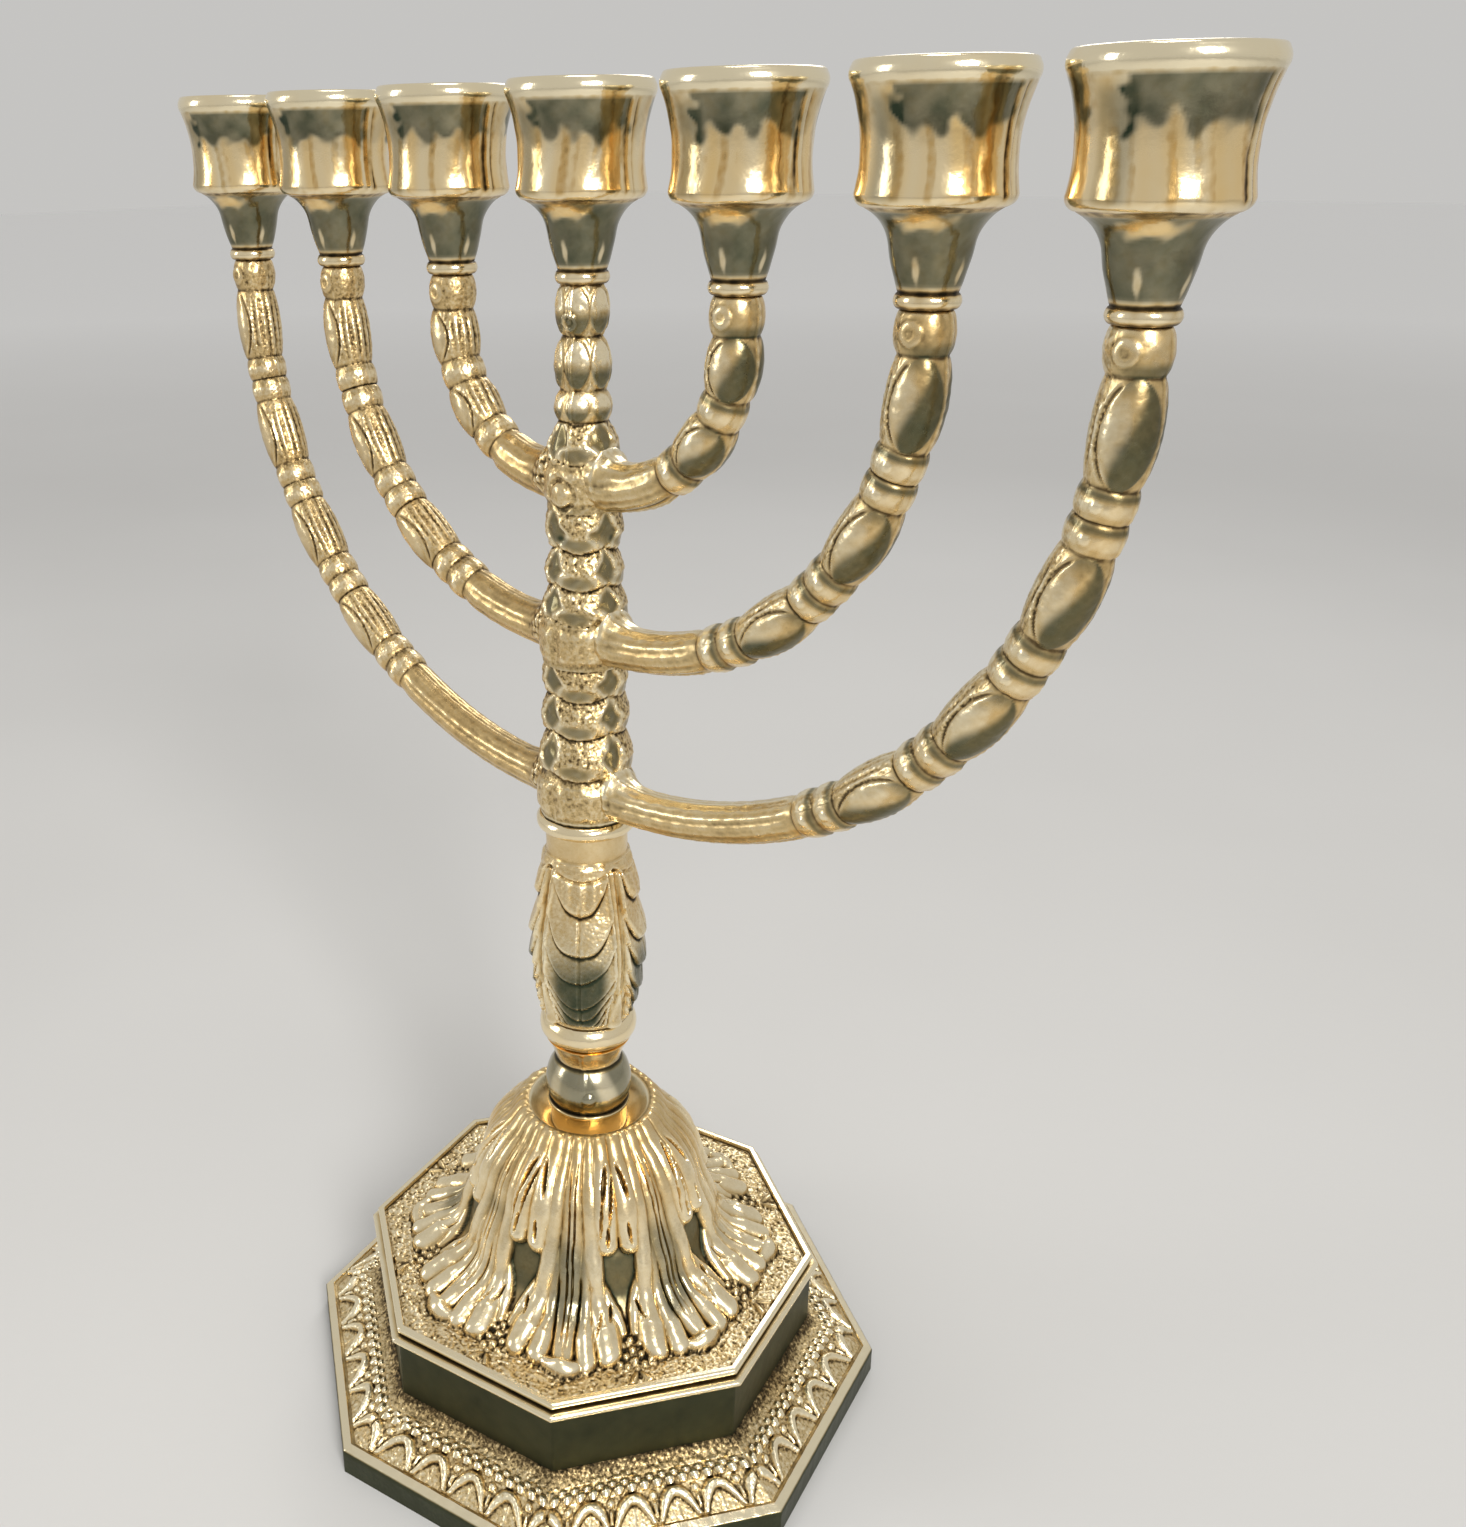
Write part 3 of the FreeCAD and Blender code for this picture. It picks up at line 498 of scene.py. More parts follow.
def arch_relief(across, down, pitch):
    """Arches whose legs spread to their neighbours' feet, with ribbed leaves in them and drops between: across
    from an arch's middle, down from the band's top."""
    width = (pitch / 2 - 0.3) ** 2 / arch_fall
    distance = (across ** 2 - width * (down - arch_top)) / np.sqrt(4 * across ** 2 + width ** 2)
    low = rise(1.5, arch_fall, down)
    hood = (1.1 - 0.35 * low) * bump(distance, 1.2 - 0.6 * low)
    gap = pitch / 2 - abs(across)
    leaf = 0.5 * bump(across, 0.3 + 0.08 * down) * rise(2.2, 3, down)
    for high, start, fan, wide, top in ((0.42, 0.9, 0.26, 0.4, 2.8), (0.36, 1.5, 0.4, 0.38, 4)):
        rib = high * bump(abs(across) - start - fan * (down - 3), wide) * rise(top, top + 0.8, down)
        leaf = maximum(leaf, rib)
    leaf = where(distance < 0, leaf - 0.4, 0)
    drop = 0.65 * ball(hypot(gap, down - 1.2), 0.85)
    dart = 0.5 * bump(gap, 0.4) * window(2.2, 2.8, 4.2, 5, down)
    return maximum(maximum(hood, leaf), maximum(drop, dart))


def foot_tier():
    """The lower tier: a plain lip, arches with leaves, two rows of beads and a stippled cove."""
    outline, band, share = foot_outline()
    directions, along = octagon_directions(foot_columns)
    (r, z), (out, up) = columns_of(outline), columns_of(outline_normals(outline, closed=True))
    half_side = r * sin(radians(half_side_deg))
    corner_fade = rise(0, 0.9, half_side * (1 - abs(along)))
    along = along * half_side
    place = around(r, directions, z)
    sway = wobble(place, 11)
    relief = zeros(sway.shape)
    rows = band == "arch"
    pitch = 2 * half_side[rows] / arches_per_side
    across = wrapped(along[rows] + 0.12 * sway[rows] + pitch / 2, pitch)
    slope = hypot(foot_tongue_width * cos(radians(half_side_deg)), foot_tongue_rise)
    down = (1 - share[rows]) * slope
    fade = window(0, 0.25, slope - 0.35, slope, down) * corner_fade[rows] * (1 + 0.15 * sway[rows])
    relief[rows] = arch_relief(across, down, pitch) * fade
    rows = band == "bead"
    pitch = 2 * half_side[rows] / beads_per_side
    for way_in, shift, size, high in bead_rows:
        across = wrapped(along[rows] + pitch * (shift + 0.5), pitch)
        bead = ball(hypot(across, share[rows] * foot_bead_width - way_in), size)
        relief[rows] = maximum(relief[rows], high * bead * corner_fade[rows])
    cove = band == "cove"
    relief[cove] += 0.2 * pebbles(place[cove], 1.05)
    relief += 0.05 * wobble(place, 9) * (band != "plain")[:, None]
    plain_edge = np.isin(band, ("edge", "side"))
    relief[plain_edge] = -0.05 * (1 + wobble(place[plain_edge], 5))
    relief[outline[:, 1] <= 0.01] = 0
    outward = out * relief / cos(radians(half_side_deg))
    grid = around(r + outward, directions, maximum(z + up * relief, 0))
    wear_and_painted_light = hollows(relief, 0.4, 9) + 0.06 + 0.12 * rise(0.4, 0.8, relief)
    # The rubbed top edge is bright; the outer side is painted dark as shade and as a dark reflection, here and in the
    # third layer below.
    for name, value in (("groove", 0.4), ("edge", 0.78), ("side", 0.32), ("plain", 0.25)):
        wear_and_painted_light[band == name] = value
    # Painted shade: the cove darkens towards the riser.
    wear_and_painted_light[cove] = 0.50 - 0.28 * share[cove] + 0.35 * (wear_and_painted_light[cove] - 0.5)
    stipple = where(np.isin(band, ("cove", "arch")), 0.7, 0.1)[:, None]
    reflection_and_shade = where(band == "side", 0.85, 0)[:, None]
    piece("foot_tier_cast", "stand", antique, ["foot_tier"], grid, (wear_and_painted_light, stipple, reflection_and_shade, 0), sharp_deg=50)


# The dome and the upper tier

dome_columns = 800
dome_step = 0.34
plate_steps = 26
# The lobes of one half of a leaf. Each is a line of stations: the angle from the leaf's middle, the way
# down from the crown, the half width and the height. The leaf's middle is at 0 and the next leaf's edge
# at 22.5 degrees.
leaf_lobes = (
    ((0, 0, 1.15, 0.7), (0, 14, 2.2, 1.2), (0, 28, 3.3, 1.8), (0, 40, 3, 1.9), (0, 45.8, 2.2, 2.3)),
    ((6.2, 17, 0.5, 0.4), (6.5, 27, 1.4, 1.5), (7, 37, 1.6, 1.9), (7.3, 41, 2.3, 2.5), (7.7, 45.4, 2.3, 2.3)),
    ((8.4, 0, 0.95, 0.7), (9.3, 13, 1.95, 1.5), (10.1, 25, 2.2, 2), (12.3, 34, 2, 2.2), (14, 40, 2.7, 3),
     (15.1, 44.5, 2.5, 2.4)),
    ((17.2, 0, 1.45, 0.8), (17, 9, 2.45, 1.8), (16.9, 17, 3, 2.5), (17.3, 22.8, 2.4, 2.8)),
    ((22.4, 9, 0.4, 0.4), (22, 16, 0.9, 1.4), (21.6, 21, 0.9, 1.8)),
    ((12.9, 28.6, 0.5, 0.6), (15.6, 32.6, 1.2, 1.5), (18.6, 36.5, 1.4, 1.8), (20.3, 40.8, 0.9, 1.1)),
    ((14.8, 34, 0.8, 1), (17.4, 39, 1.4, 1.6), (18.4, 42.4, 0.9, 1.1)))
# Hollows sunk in the lobes of both halves of a leaf, and those of one half alone: angle, way down, half width,
# half length and depth
leaf_hollows = ((16.9, 10, 0.6, 4.2, 1.5), (1.2, 25, 0.24, 22, 0.6), (4.4, 36, 0.26, 9, 0.7),
                (17.2, 20.5, 0.4, 2.6, 1.2), (16.6, 36, 0.4, 2.4, 1))
one_sided_hollows = ((19.6, 13.5, 0.4, 6.5, 1.1), (14.4, 17, 0.35, 5, 0.9), (12.4, 38.5, 0.3, 4, 0.7))
leaf_curl_place = 47
leaf_curl_size = (4.9, 2.2, 3)
leaf_sink = 1.7
# Berries under the middle of a face: how far to the side, the way down and the radius
berry_places = ((0, 41.6, 0.8), (1.7, 42.6, 0.8), (0, 43.6, 0.85), (2.9, 44.2, 0.8), (1.6, 44.7, 0.85),
                (0, 45.8, 0.85), (3.1, 46.1, 0.8), (1.7, 46.7, 0.85), (0, 47.8, 0.8))


def along_line(x, y, stations, radius_at):
    """The height of a rounded lobe that follows a line of stations."""
    height = 0
    for (a0, s0, w0, h0), (a1, s1, w1, h1) in zip(stations[:-1], stations[1:]):
        start_x, start_y = arc(a0, radius_at(s0)), s0
        step_x, step_y = arc(a1, radius_at(s1)) - start_x, s1 - s0
        share = ((x - start_x) * step_x + (y - start_y) * step_y) / (step_x ** 2 + step_y ** 2)
        share = clip(share, 0, 1)
        distance = hypot(x - start_x - share * step_x, y - start_y - share * step_y)
        height = maximum(height, (h0 + (h1 - h0) * share) * ball(distance, w0 + (w1 - w0) * share))
    return height


def leaf_relief(off_corner, r, down, radius_at, place):
    """How far the leaves stand out, by the angle from the nearest corner and the way down from the crown."""
    drift = wobble(place, 23)
    x = arc(abs(off_corner + 0.5 * drift), r)
    way = down + 0.7 * wobble(place + 31, 27)
    relief = 0
    for stations in leaf_lobes:
        relief = maximum(relief, along_line(x, way, stations, radius_at))
    one_side = where(off_corner > 0, x, -99)
    for across, some_hollows in ((x, leaf_hollows), (one_side, one_sided_hollows)):
        for degrees, at, wide, long, depth in some_hollows:
            sunk = hypot((across - arc(degrees, radius_at(at))) / wide, (way - at) / long)
            relief -= depth * bump(sunk, 1) * minimum(relief, 1)
    wide, long, high = leaf_curl_size
    side = arc(off_corner, r)
    curl = hypot((side + 0.4 * drift) / wide, (way - leaf_curl_place + 0.05 * side ** 2) / long)
    relief = maximum(maximum(relief, 0), high * ball(curl, 1) * (0.93 + 0.07 * cos(side * 1.2)))
    from_face = arc(half_side_deg - abs(off_corner), r)
    for across, at, size in berry_places:
        relief = maximum(relief, 0.9 * ball(hypot(from_face - across, down - at), size))
    leaflet = hypot((from_face - 1.5 - 0.55 * (down - 50.5)) / 0.95, (down - 50.4) / 2.6)
    return maximum(relief, 0.8 * ball(leaflet, 1))


def rosettes(points, size):
    """Small rings with a dot in each, packed irregularly over a surface."""
    stones = pebbles(points, size)
    return maximum(bump(stones - 0.35, 0.3), 0.9 * rise(0.8, 0.95, stones))


def base_dome():
    """The upper tier in one closed skin: hollow inside, riser, edge, plate with leaves, bell and dished crown."""
    angles, directions = full_turn(dome_columns, panel_turn_deg)
    off_corner = wrapped(np.degrees(angles) - panel_turn_deg, 2 * half_side_deg)
    off_side = radians(wrapped(np.degrees(angles) - base_turn_deg, 2 * half_side_deg))
    octagon = cos(radians(half_side_deg)) / cos(off_side)
    side = curve_through(bell_points[::-1], dome_step)
    way = lengths(side)
    rows = []

    def radius_at(down):
        return np.interp(down, [*way, way[-1] + 10], [*side[:, 0], side[-1, 0] + 10])

    def row(*values):
        """One row from its radius, height and layers, with 0 for the layers left out."""
        rows.append([value + zeros(dome_columns) for value in (*values, 0, 0, 0)[:6]])

    def octagon_rows(corners, step, *layers):
        for corner_radius, z in straight(corners, step):
            row(corner_radius * octagon, z, *layers)

    inner = curve_through([(r - dome_wall, z) for r, z in bell_points[6:0:-1]], 2)
    row(bore_radius, ceiling_height, 0.3)
    row((bore_radius + inner[0][0]) / 2, ceiling_height, 0.3)
    for r, z in inner:
        row(r, min(z, ceiling_height), 0.3)
    underside = plate_height - plate_thickness
    riser_inside = riser_corner_radius - riser_wall
    ridge_inside = ridge_corner_radius - ridge_width
    row(inner[-1][0], underside, 0.25)
    octagon_rows([(riser_inside - 1, underside), (riser_inside, underside - 1), (riser_inside, ledge_height)],
                 3, 0.25)
    # Painted dark reflection on the riser's face
    octagon_rows([(riser_corner_radius, ledge_height), (riser_corner_radius, riser_top)], 1.6, 0.24, 0, 0.72)
    octagon_rows([(lip_corner_radius - 0.25, riser_top), (lip_corner_radius, riser_top + 0.3),
                  (lip_corner_radius, lip_top - 0.25), (lip_corner_radius - 0.3, lip_top)], 0.4, 0.8)
    octagon_rows([(groove_corner_radius, lip_top - 0.05), (groove_corner_radius, ridge_base)], 0.4, 0.2)
    octagon_rows([(ridge_corner_radius - 0.2, ridge_base), (ridge_corner_radius, ridge_base + 0.25),
                  (ridge_corner_radius, ridge_top - 0.3), (ridge_corner_radius - 0.3, ridge_top),
                  (ridge_inside + 0.35, ridge_top)], 0.4, 0.82)
    octagon_rows([(ridge_inside, plate_height + 0.1)], 0.4, 0.15)
    plain_rows = len(rows)
    share = np.linspace(1, 0, plate_steps, endpoint=False)[:, None]
    plate_out = (octagon * (ridge_inside - 0.1) - dome_foot_radius) * share
    (bell_r, bell_z), (bell_out, bell_up) = columns_of(side[::-1]), columns_of(outline_normals(side[::-1]))
    plate, bell = 0 * plate_out, zeros((len(side), dome_columns))
    r, z, down, out, up, share = (vstack([low + plate, high + bell]) for low, high in (
        (dome_foot_radius + plate_out, bell_r), (plate_height, bell_z), (way[-1] + plate_out, way[::-1, None]),
        (0, bell_out), (1, bell_up), (share, 0)))
    place = around(r, directions, z)
    leaves = leaf_relief(off_corner, r, down, radius_at, place)
    fade = rise(-0.6, 1.2, down) * rise(1, 0.93, share)
    open_ground = rise(36, 41, down) * rise(0.25, 0, leaves)
    stones = maximum(rosettes(place, 2), 0.7 * pebbles(place + 7, 0.85))
    relief = (leaves + 0.3 * stones * open_ground + 0.05 * wobble(place, 5)) * fade
    wear_and_painted_light = 0.55 * hollows(relief, 0.95, 11) + 0.45 * hollows(relief, 1.5, 25) + 0.16 * rise(0.8, 2, relief)
    # Painted shade along the outlines of the leaves
    outline_shade = 0.4 * rise(0.9, 0.1, leaves) * rise(0.15, 0.5, spread(leaves, 7))
    wear_and_painted_light -= outline_shade * rise(24, 34, down)
    wear_and_painted_light = where(open_ground > 0.5, 0.34 + 0.36 * stones - outline_shade, wear_and_painted_light)
    # Painted dark reflection on the smooth ground between the leaves and in a band across the leaves' middles
    smooth_ground = window(22, 26, 33, 37, down) * rise(0.5, 0.1, leaves)
    drift = wobble(place, 19)
    dark_band = window(17, 24, 36, 42, down + 3 * drift) * rise(9.5, 5, abs(off_corner))
    dark_band *= rise(-0.5, 0.3, wobble(place, 37)) * (1 - smooth_ground) * rise(0.95, 0.7, wear_and_painted_light)
    warm_and_reflection = 0.35 * rise(26, 12, down) * rise(-0.4, 0.5, drift) + 0.12
    offset = relief - leaf_sink * window(0.3, 6, 29, 40, down)
    rows += zip(r + out * offset, z + up * offset, wear_and_painted_light, 0.7 * open_ground + 0.12,
                0.8 * smooth_ground + 0.6 * dark_band, warm_and_reflection)
    # The dished crown: a painted dark reflection on the upper dish wall, and a painted highlight with orange on the
    # dish floor by the neck, which lies in the crown's shade
    row(crown_radius - 0.35, crown_height - 0.1, 0.75)
    row(crown_radius - 0.8, crown_height - 0.6, 0.7, 0, 0.3)
    row(crown_radius - 1.6, crown_height - 1.7, 0.6, 0, 0.35, 0.4)
    row((crown_radius + neck_radius) / 2, (crown_height + crown_floor) / 2, 0.7, 0, 0.1, 0.5)
    row(neck_radius + 0.5, crown_floor + 0.2, 0.8, 0, 0, 0.6)
    row(neck_radius, crown_floor, 0.3)
    row(bore_radius, crown_floor, 0)
    r, z, *layers = np.array(rows).swapaxes(0, 1)
    grid = around(r, directions, z)
    layers[0][:plain_rows] += 0.03 * wobble(grid[:plain_rows], 6)
    piece("base_dome_cast", "stand", antique, ["base_dome"], grid, layers, sharp_deg=50)


# The stem of the stand

def stem_bulb():
    """The plain turned piece: neck, thin ring, bulb, cove and flare, with a casting seam and a small knob."""
    outline = vstack([
        straight([(rod_bore_radius, bulb_spigot_base), (bulb_spigot_radius, bulb_spigot_base),
                  (bulb_spigot_radius, crown_floor), (neck_radius, crown_floor), (neck_radius, neck_top)], 0.8),
        arc_through((neck_radius, 64.2), (8.5, 64.8), (neck_radius, 65.4), 9),
        arc_through((neck_radius, 65.5), (8.8, 70.4), (6.75, 75.1), 26),
        arc_through((6.7, 75.5), (7.7, 78.6), (8.7, 80.45), 14),
        straight([(8.7, stem_ring_base), (register_radius, stem_ring_base), (rod_bore_radius, stem_ring_base)], 2)])
    angles, directions = full_turn(turned_columns)
    r, z = columns_of(outline)
    place = around(r, directions, z)
    off_seam = wrapped(angles - radians(panel_turn_deg + 270), 2 * pi)
    shown = window(64.5, 65.5, 79.5, 80.4, z)
    relief = 0.16 * bump(off_seam * 8, 0.8) * shown
    relief += 0.6 * ball(hypot((off_seam - radians(9)) * 8.5, z - 69.6), 1.3)
    relief += 0.05 * wobble(place, 7) * shown
    # Painted highlight: the neck band, which lies in the crown's shade, is made bright and orange; the cove is made
    # orange too.
    wear_and_painted_light = 0.43 + 0.4 * rise(64.3, 63.8, z) + 0.5 * hollows(relief, 0.3, 4)
    for line_height, reach in ((64.15, 0.3), (65.5, 0.5), (75.25, 0.7)):
        wear_and_painted_light -= 0.6 * bump(z - line_height, reach)
    # Painted dark reflection on the bulb, broken by two painted highlight stripes
    light = wrapped(off_seam - 0.65 + 0.04 * (z - 70), 2 * pi)
    reflection_and_shade = 0.66 * window(65.3, 66.3, 74.6, 75.4, z)
    reflection_and_shade = reflection_and_shade * (1 - 0.8 * bump(light, 0.3) - 0.5 * bump(wrapped(off_seam + 0.75, 2 * pi), 0.22))
    warm_and_reflection = 0.75 * rise(64.3, 63.8, z) + 0.55 * rise(75.4, 76.2, z)
    grid = round_grid(outline, relief, directions)
    piece("stem_bulb_turned", "stand", polished, ["stem_bulb"], grid, (wear_and_painted_light, 0.12, reflection_and_shade, warm_and_reflection))


def round_ring(node, base, top, radius, dent):
    """A ring with a fully rounded outside, a little uneven from its casting."""
    height = top - base
    side = radius - height / 3
    outline = vstack([straight([(register_radius, base), (side - 0.4, base)], 2),
                      arc_through((side, base + 0.02), (radius, base + height / 2), (side, top - 0.02), 17),
                      straight([(side - 0.4, top), (register_radius, top)], 2)])
    _, directions = full_turn(ring_columns)
    r, z = columns_of(outline)
    place = around(r, directions, z)
    outside = r > side - 0.1
    relief = -dent * (0.5 + 0.5 * wobble(place, 6)) * outside
    wear_and_painted_light = 0.74 + 0.1 * wobble(place, 4) - 0.55 * (1 - outside)
    wear_and_painted_light = wear_and_painted_light * rise(-0.2, 0.35, minimum(z - base, top - z) + 0.05)
    warm_and_reflection = 0.25 + 0.3 * rise(0.5, 0, (z - base) / height)
    grid = round_grid(outline, relief, directions)
    piece(node + "_turned", "stand", polished, [node], grid, (wear_and_painted_light, 0.1, 0, warm_and_reflection))


# The leaf baluster

baluster_points = ((8.9, 86.5), (10.4, 93.5), (11.2, 102), (9.6, 114), (8.3, 121.7))
# Where the lower edges of a leaf's scales cross its midrib; the lowest ones show only at the leaf's sides
scale_heights = (76, 78.4, 80.8, 83.2, 85.8, 88.6, 91.8, 97.9, 103.9, 112.4, 123)
scale_height = 1.25
collar_band_radius = 7.9
collar_band_base = 122


def baluster():
    """Four leaves of overlapping scales under a smooth collar, with ribs and a spear between the leaves."""
    outline = vstack([
        straight([(rod_bore_radius, baluster_spigot_base), (register_radius, baluster_spigot_base),
                  (register_radius, stem_ring_top), (8.6, stem_ring_top)], 2.5),
        curve_through(baluster_points, 0.24),
        straight([(collar_band_radius, collar_band_base), (collar_band_radius, collar_base - 0.1)], 0.4),
        straight([(collar_band_radius - 0.2, collar_base), (register_radius, collar_base),
                  (rod_bore_radius, collar_base)], 2)])
    angles, directions = full_turn(baluster_columns, panel_turn_deg)
    off_leaf = wrapped(np.degrees(angles) - panel_turn_deg, panel_width_deg)
    share = abs(off_leaf) / (panel_width_deg / 2)
    r, z = columns_of(outline)
    place = around(r, directions, z)
    sway = wobble(place, 13)
    body = window(87, 88, 121, 122, z)
    leaf_half = 0.7 + 0.16 * rise(90, 99, z) - 0.04 * rise(112, 121, z) + 0.02 * sway
    a = share / leaf_half
    in_leaf = rise(1.03, 0.95, a) * body
    phase = z + 0.5 * sway - 1.4 * a - 7 * minimum(a, 1.1) ** 3.2
    relief = shade = zeros(phase.shape)
    # Each scale's saw-tooth relief, with a painted shade at the top of each scale, just under the lower edge of the
    # scale above it
    for low, high in zip(scale_heights[:-1], scale_heights[1:]):
        up = (phase - low) / (high - low)
        inside = (up >= 0) & (up < 1)
        saw = scale_height * clip(1 - up, 0, 1) ** 0.8 * np.sqrt(clip(up * (high - low) / 1.1, 0, 1))
        relief = where(inside, saw, relief)
        shade = where(inside, rise(1 - 1.1 / (high - low), 1, up), shade)
    across = arc(off_leaf, r)
    relief = relief - 0.3 * bump(across, 0.4) * rise(116, 113, z)
    relief = (relief + 0.14 * cos(across * 2 * pi / 2.6) * rise(112, 116, z)) * in_leaf
    relief += 0.45 * bump(arc((a - 0.97) * leaf_half * 45, r), 0.55) * body
    to_middle = arc((1 - share) * 45, r)
    ribs = 0.28 * cos(to_middle * 2 * pi / 1.25) * (0.7 + 0.3 * cos(z * 2 * pi / 2.6))
    relief += ribs * (body - in_leaf)
    spear_wide = 1.7 * rise(97, 88, z)
    spear = 0.85 * ball(to_middle, maximum(spear_wide, 0.01)) * (spear_wide > 0.05) * (z > 86.6)
    from_wave = z - (119.4 + 1.9 * share ** 1.8 + 0.2 * sway)
    collar = rise(-0.15, 0.3, from_wave) * (z < 122.8)
    folds = 0.16 * cos(share * pi * 3) * rise(0, 1.5, from_wave)
    relief = maximum(relief, spear) - 0.35 * body
    relief = relief * (1 - collar) + (0.35 + folds) * collar
    relief += 0.05 * wobble(place, 5) - 0.45 * bump(from_wave + 0.25, 0.5) * body
    hidden = (z < 86.6) | (r < 7.5)
    relief = where(hidden, 0, relief)
    # Painted shade under the scale edges; the lower leaves get a painted dark reflection
    wear_and_painted_light = where(hidden, 0.3, hollows(relief, 0.7, 8) + 0.1 - 0.5 * shade * in_leaf * rise(1, 0.6, a))
    reflection_and_shade = 0.95 * rise(107, 99, z + 2 * sway) * in_leaf * rise(0.95, 0.55, a) * rise(0.95, 0.62, wear_and_painted_light)
    layers = (wear_and_painted_light, 0.3 * in_leaf + 0.12, reflection_and_shade, 0.4 * rise(104, 113, z))
    grid = round_grid(outline, relief, directions)
    piece("baluster_leaves", "stand", antique, ["leaf_baluster"], grid, layers)


# The trunk

# Each stretch of the trunk from the seam up: its kind, its length, and its radius low, in the middle and high
trunk_stretches = (
    ("junction", 7.8, 8.7, 8.9, 8.9), ("slope", 1.2, 8.9, 8.4, 8.1),
    ("lobe", 8, 8.1, 8.6, 7.2), ("lobe", 7.2, 7.2, 8, 7), ("lobe", 6.4, 7, 7.7, 7.6),
    ("junction", 8.4, 7.8, 7.8, 7.8), ("lobe", 6.2, 7.6, 7.4, 6.3), ("lobe", 6.7, 6.3, 6.9, 5.7),
    ("lobe", 7.5, 5.7, 6.8, 6.3), ("junction", 8.2, 6.5, 6.5, 6.5), ("lobe", 7.1, 6.2, 5.9, 4.2),
    ("bead", 5.3, 4.2, 4.9, 3.9), ("bead", 9.1, 3.9, 4.8, 3.5), ("bead", 8.5, 3.5, 4.5, 3.6))
trunk_step = 0.27
trunk_spigot_length = 5.7
trunk_spigot_radius = 4.9
panel_drop = 1.1
inner_root_height = 194.6
middle_root_height = 165.8
outer_root_height = 135.2


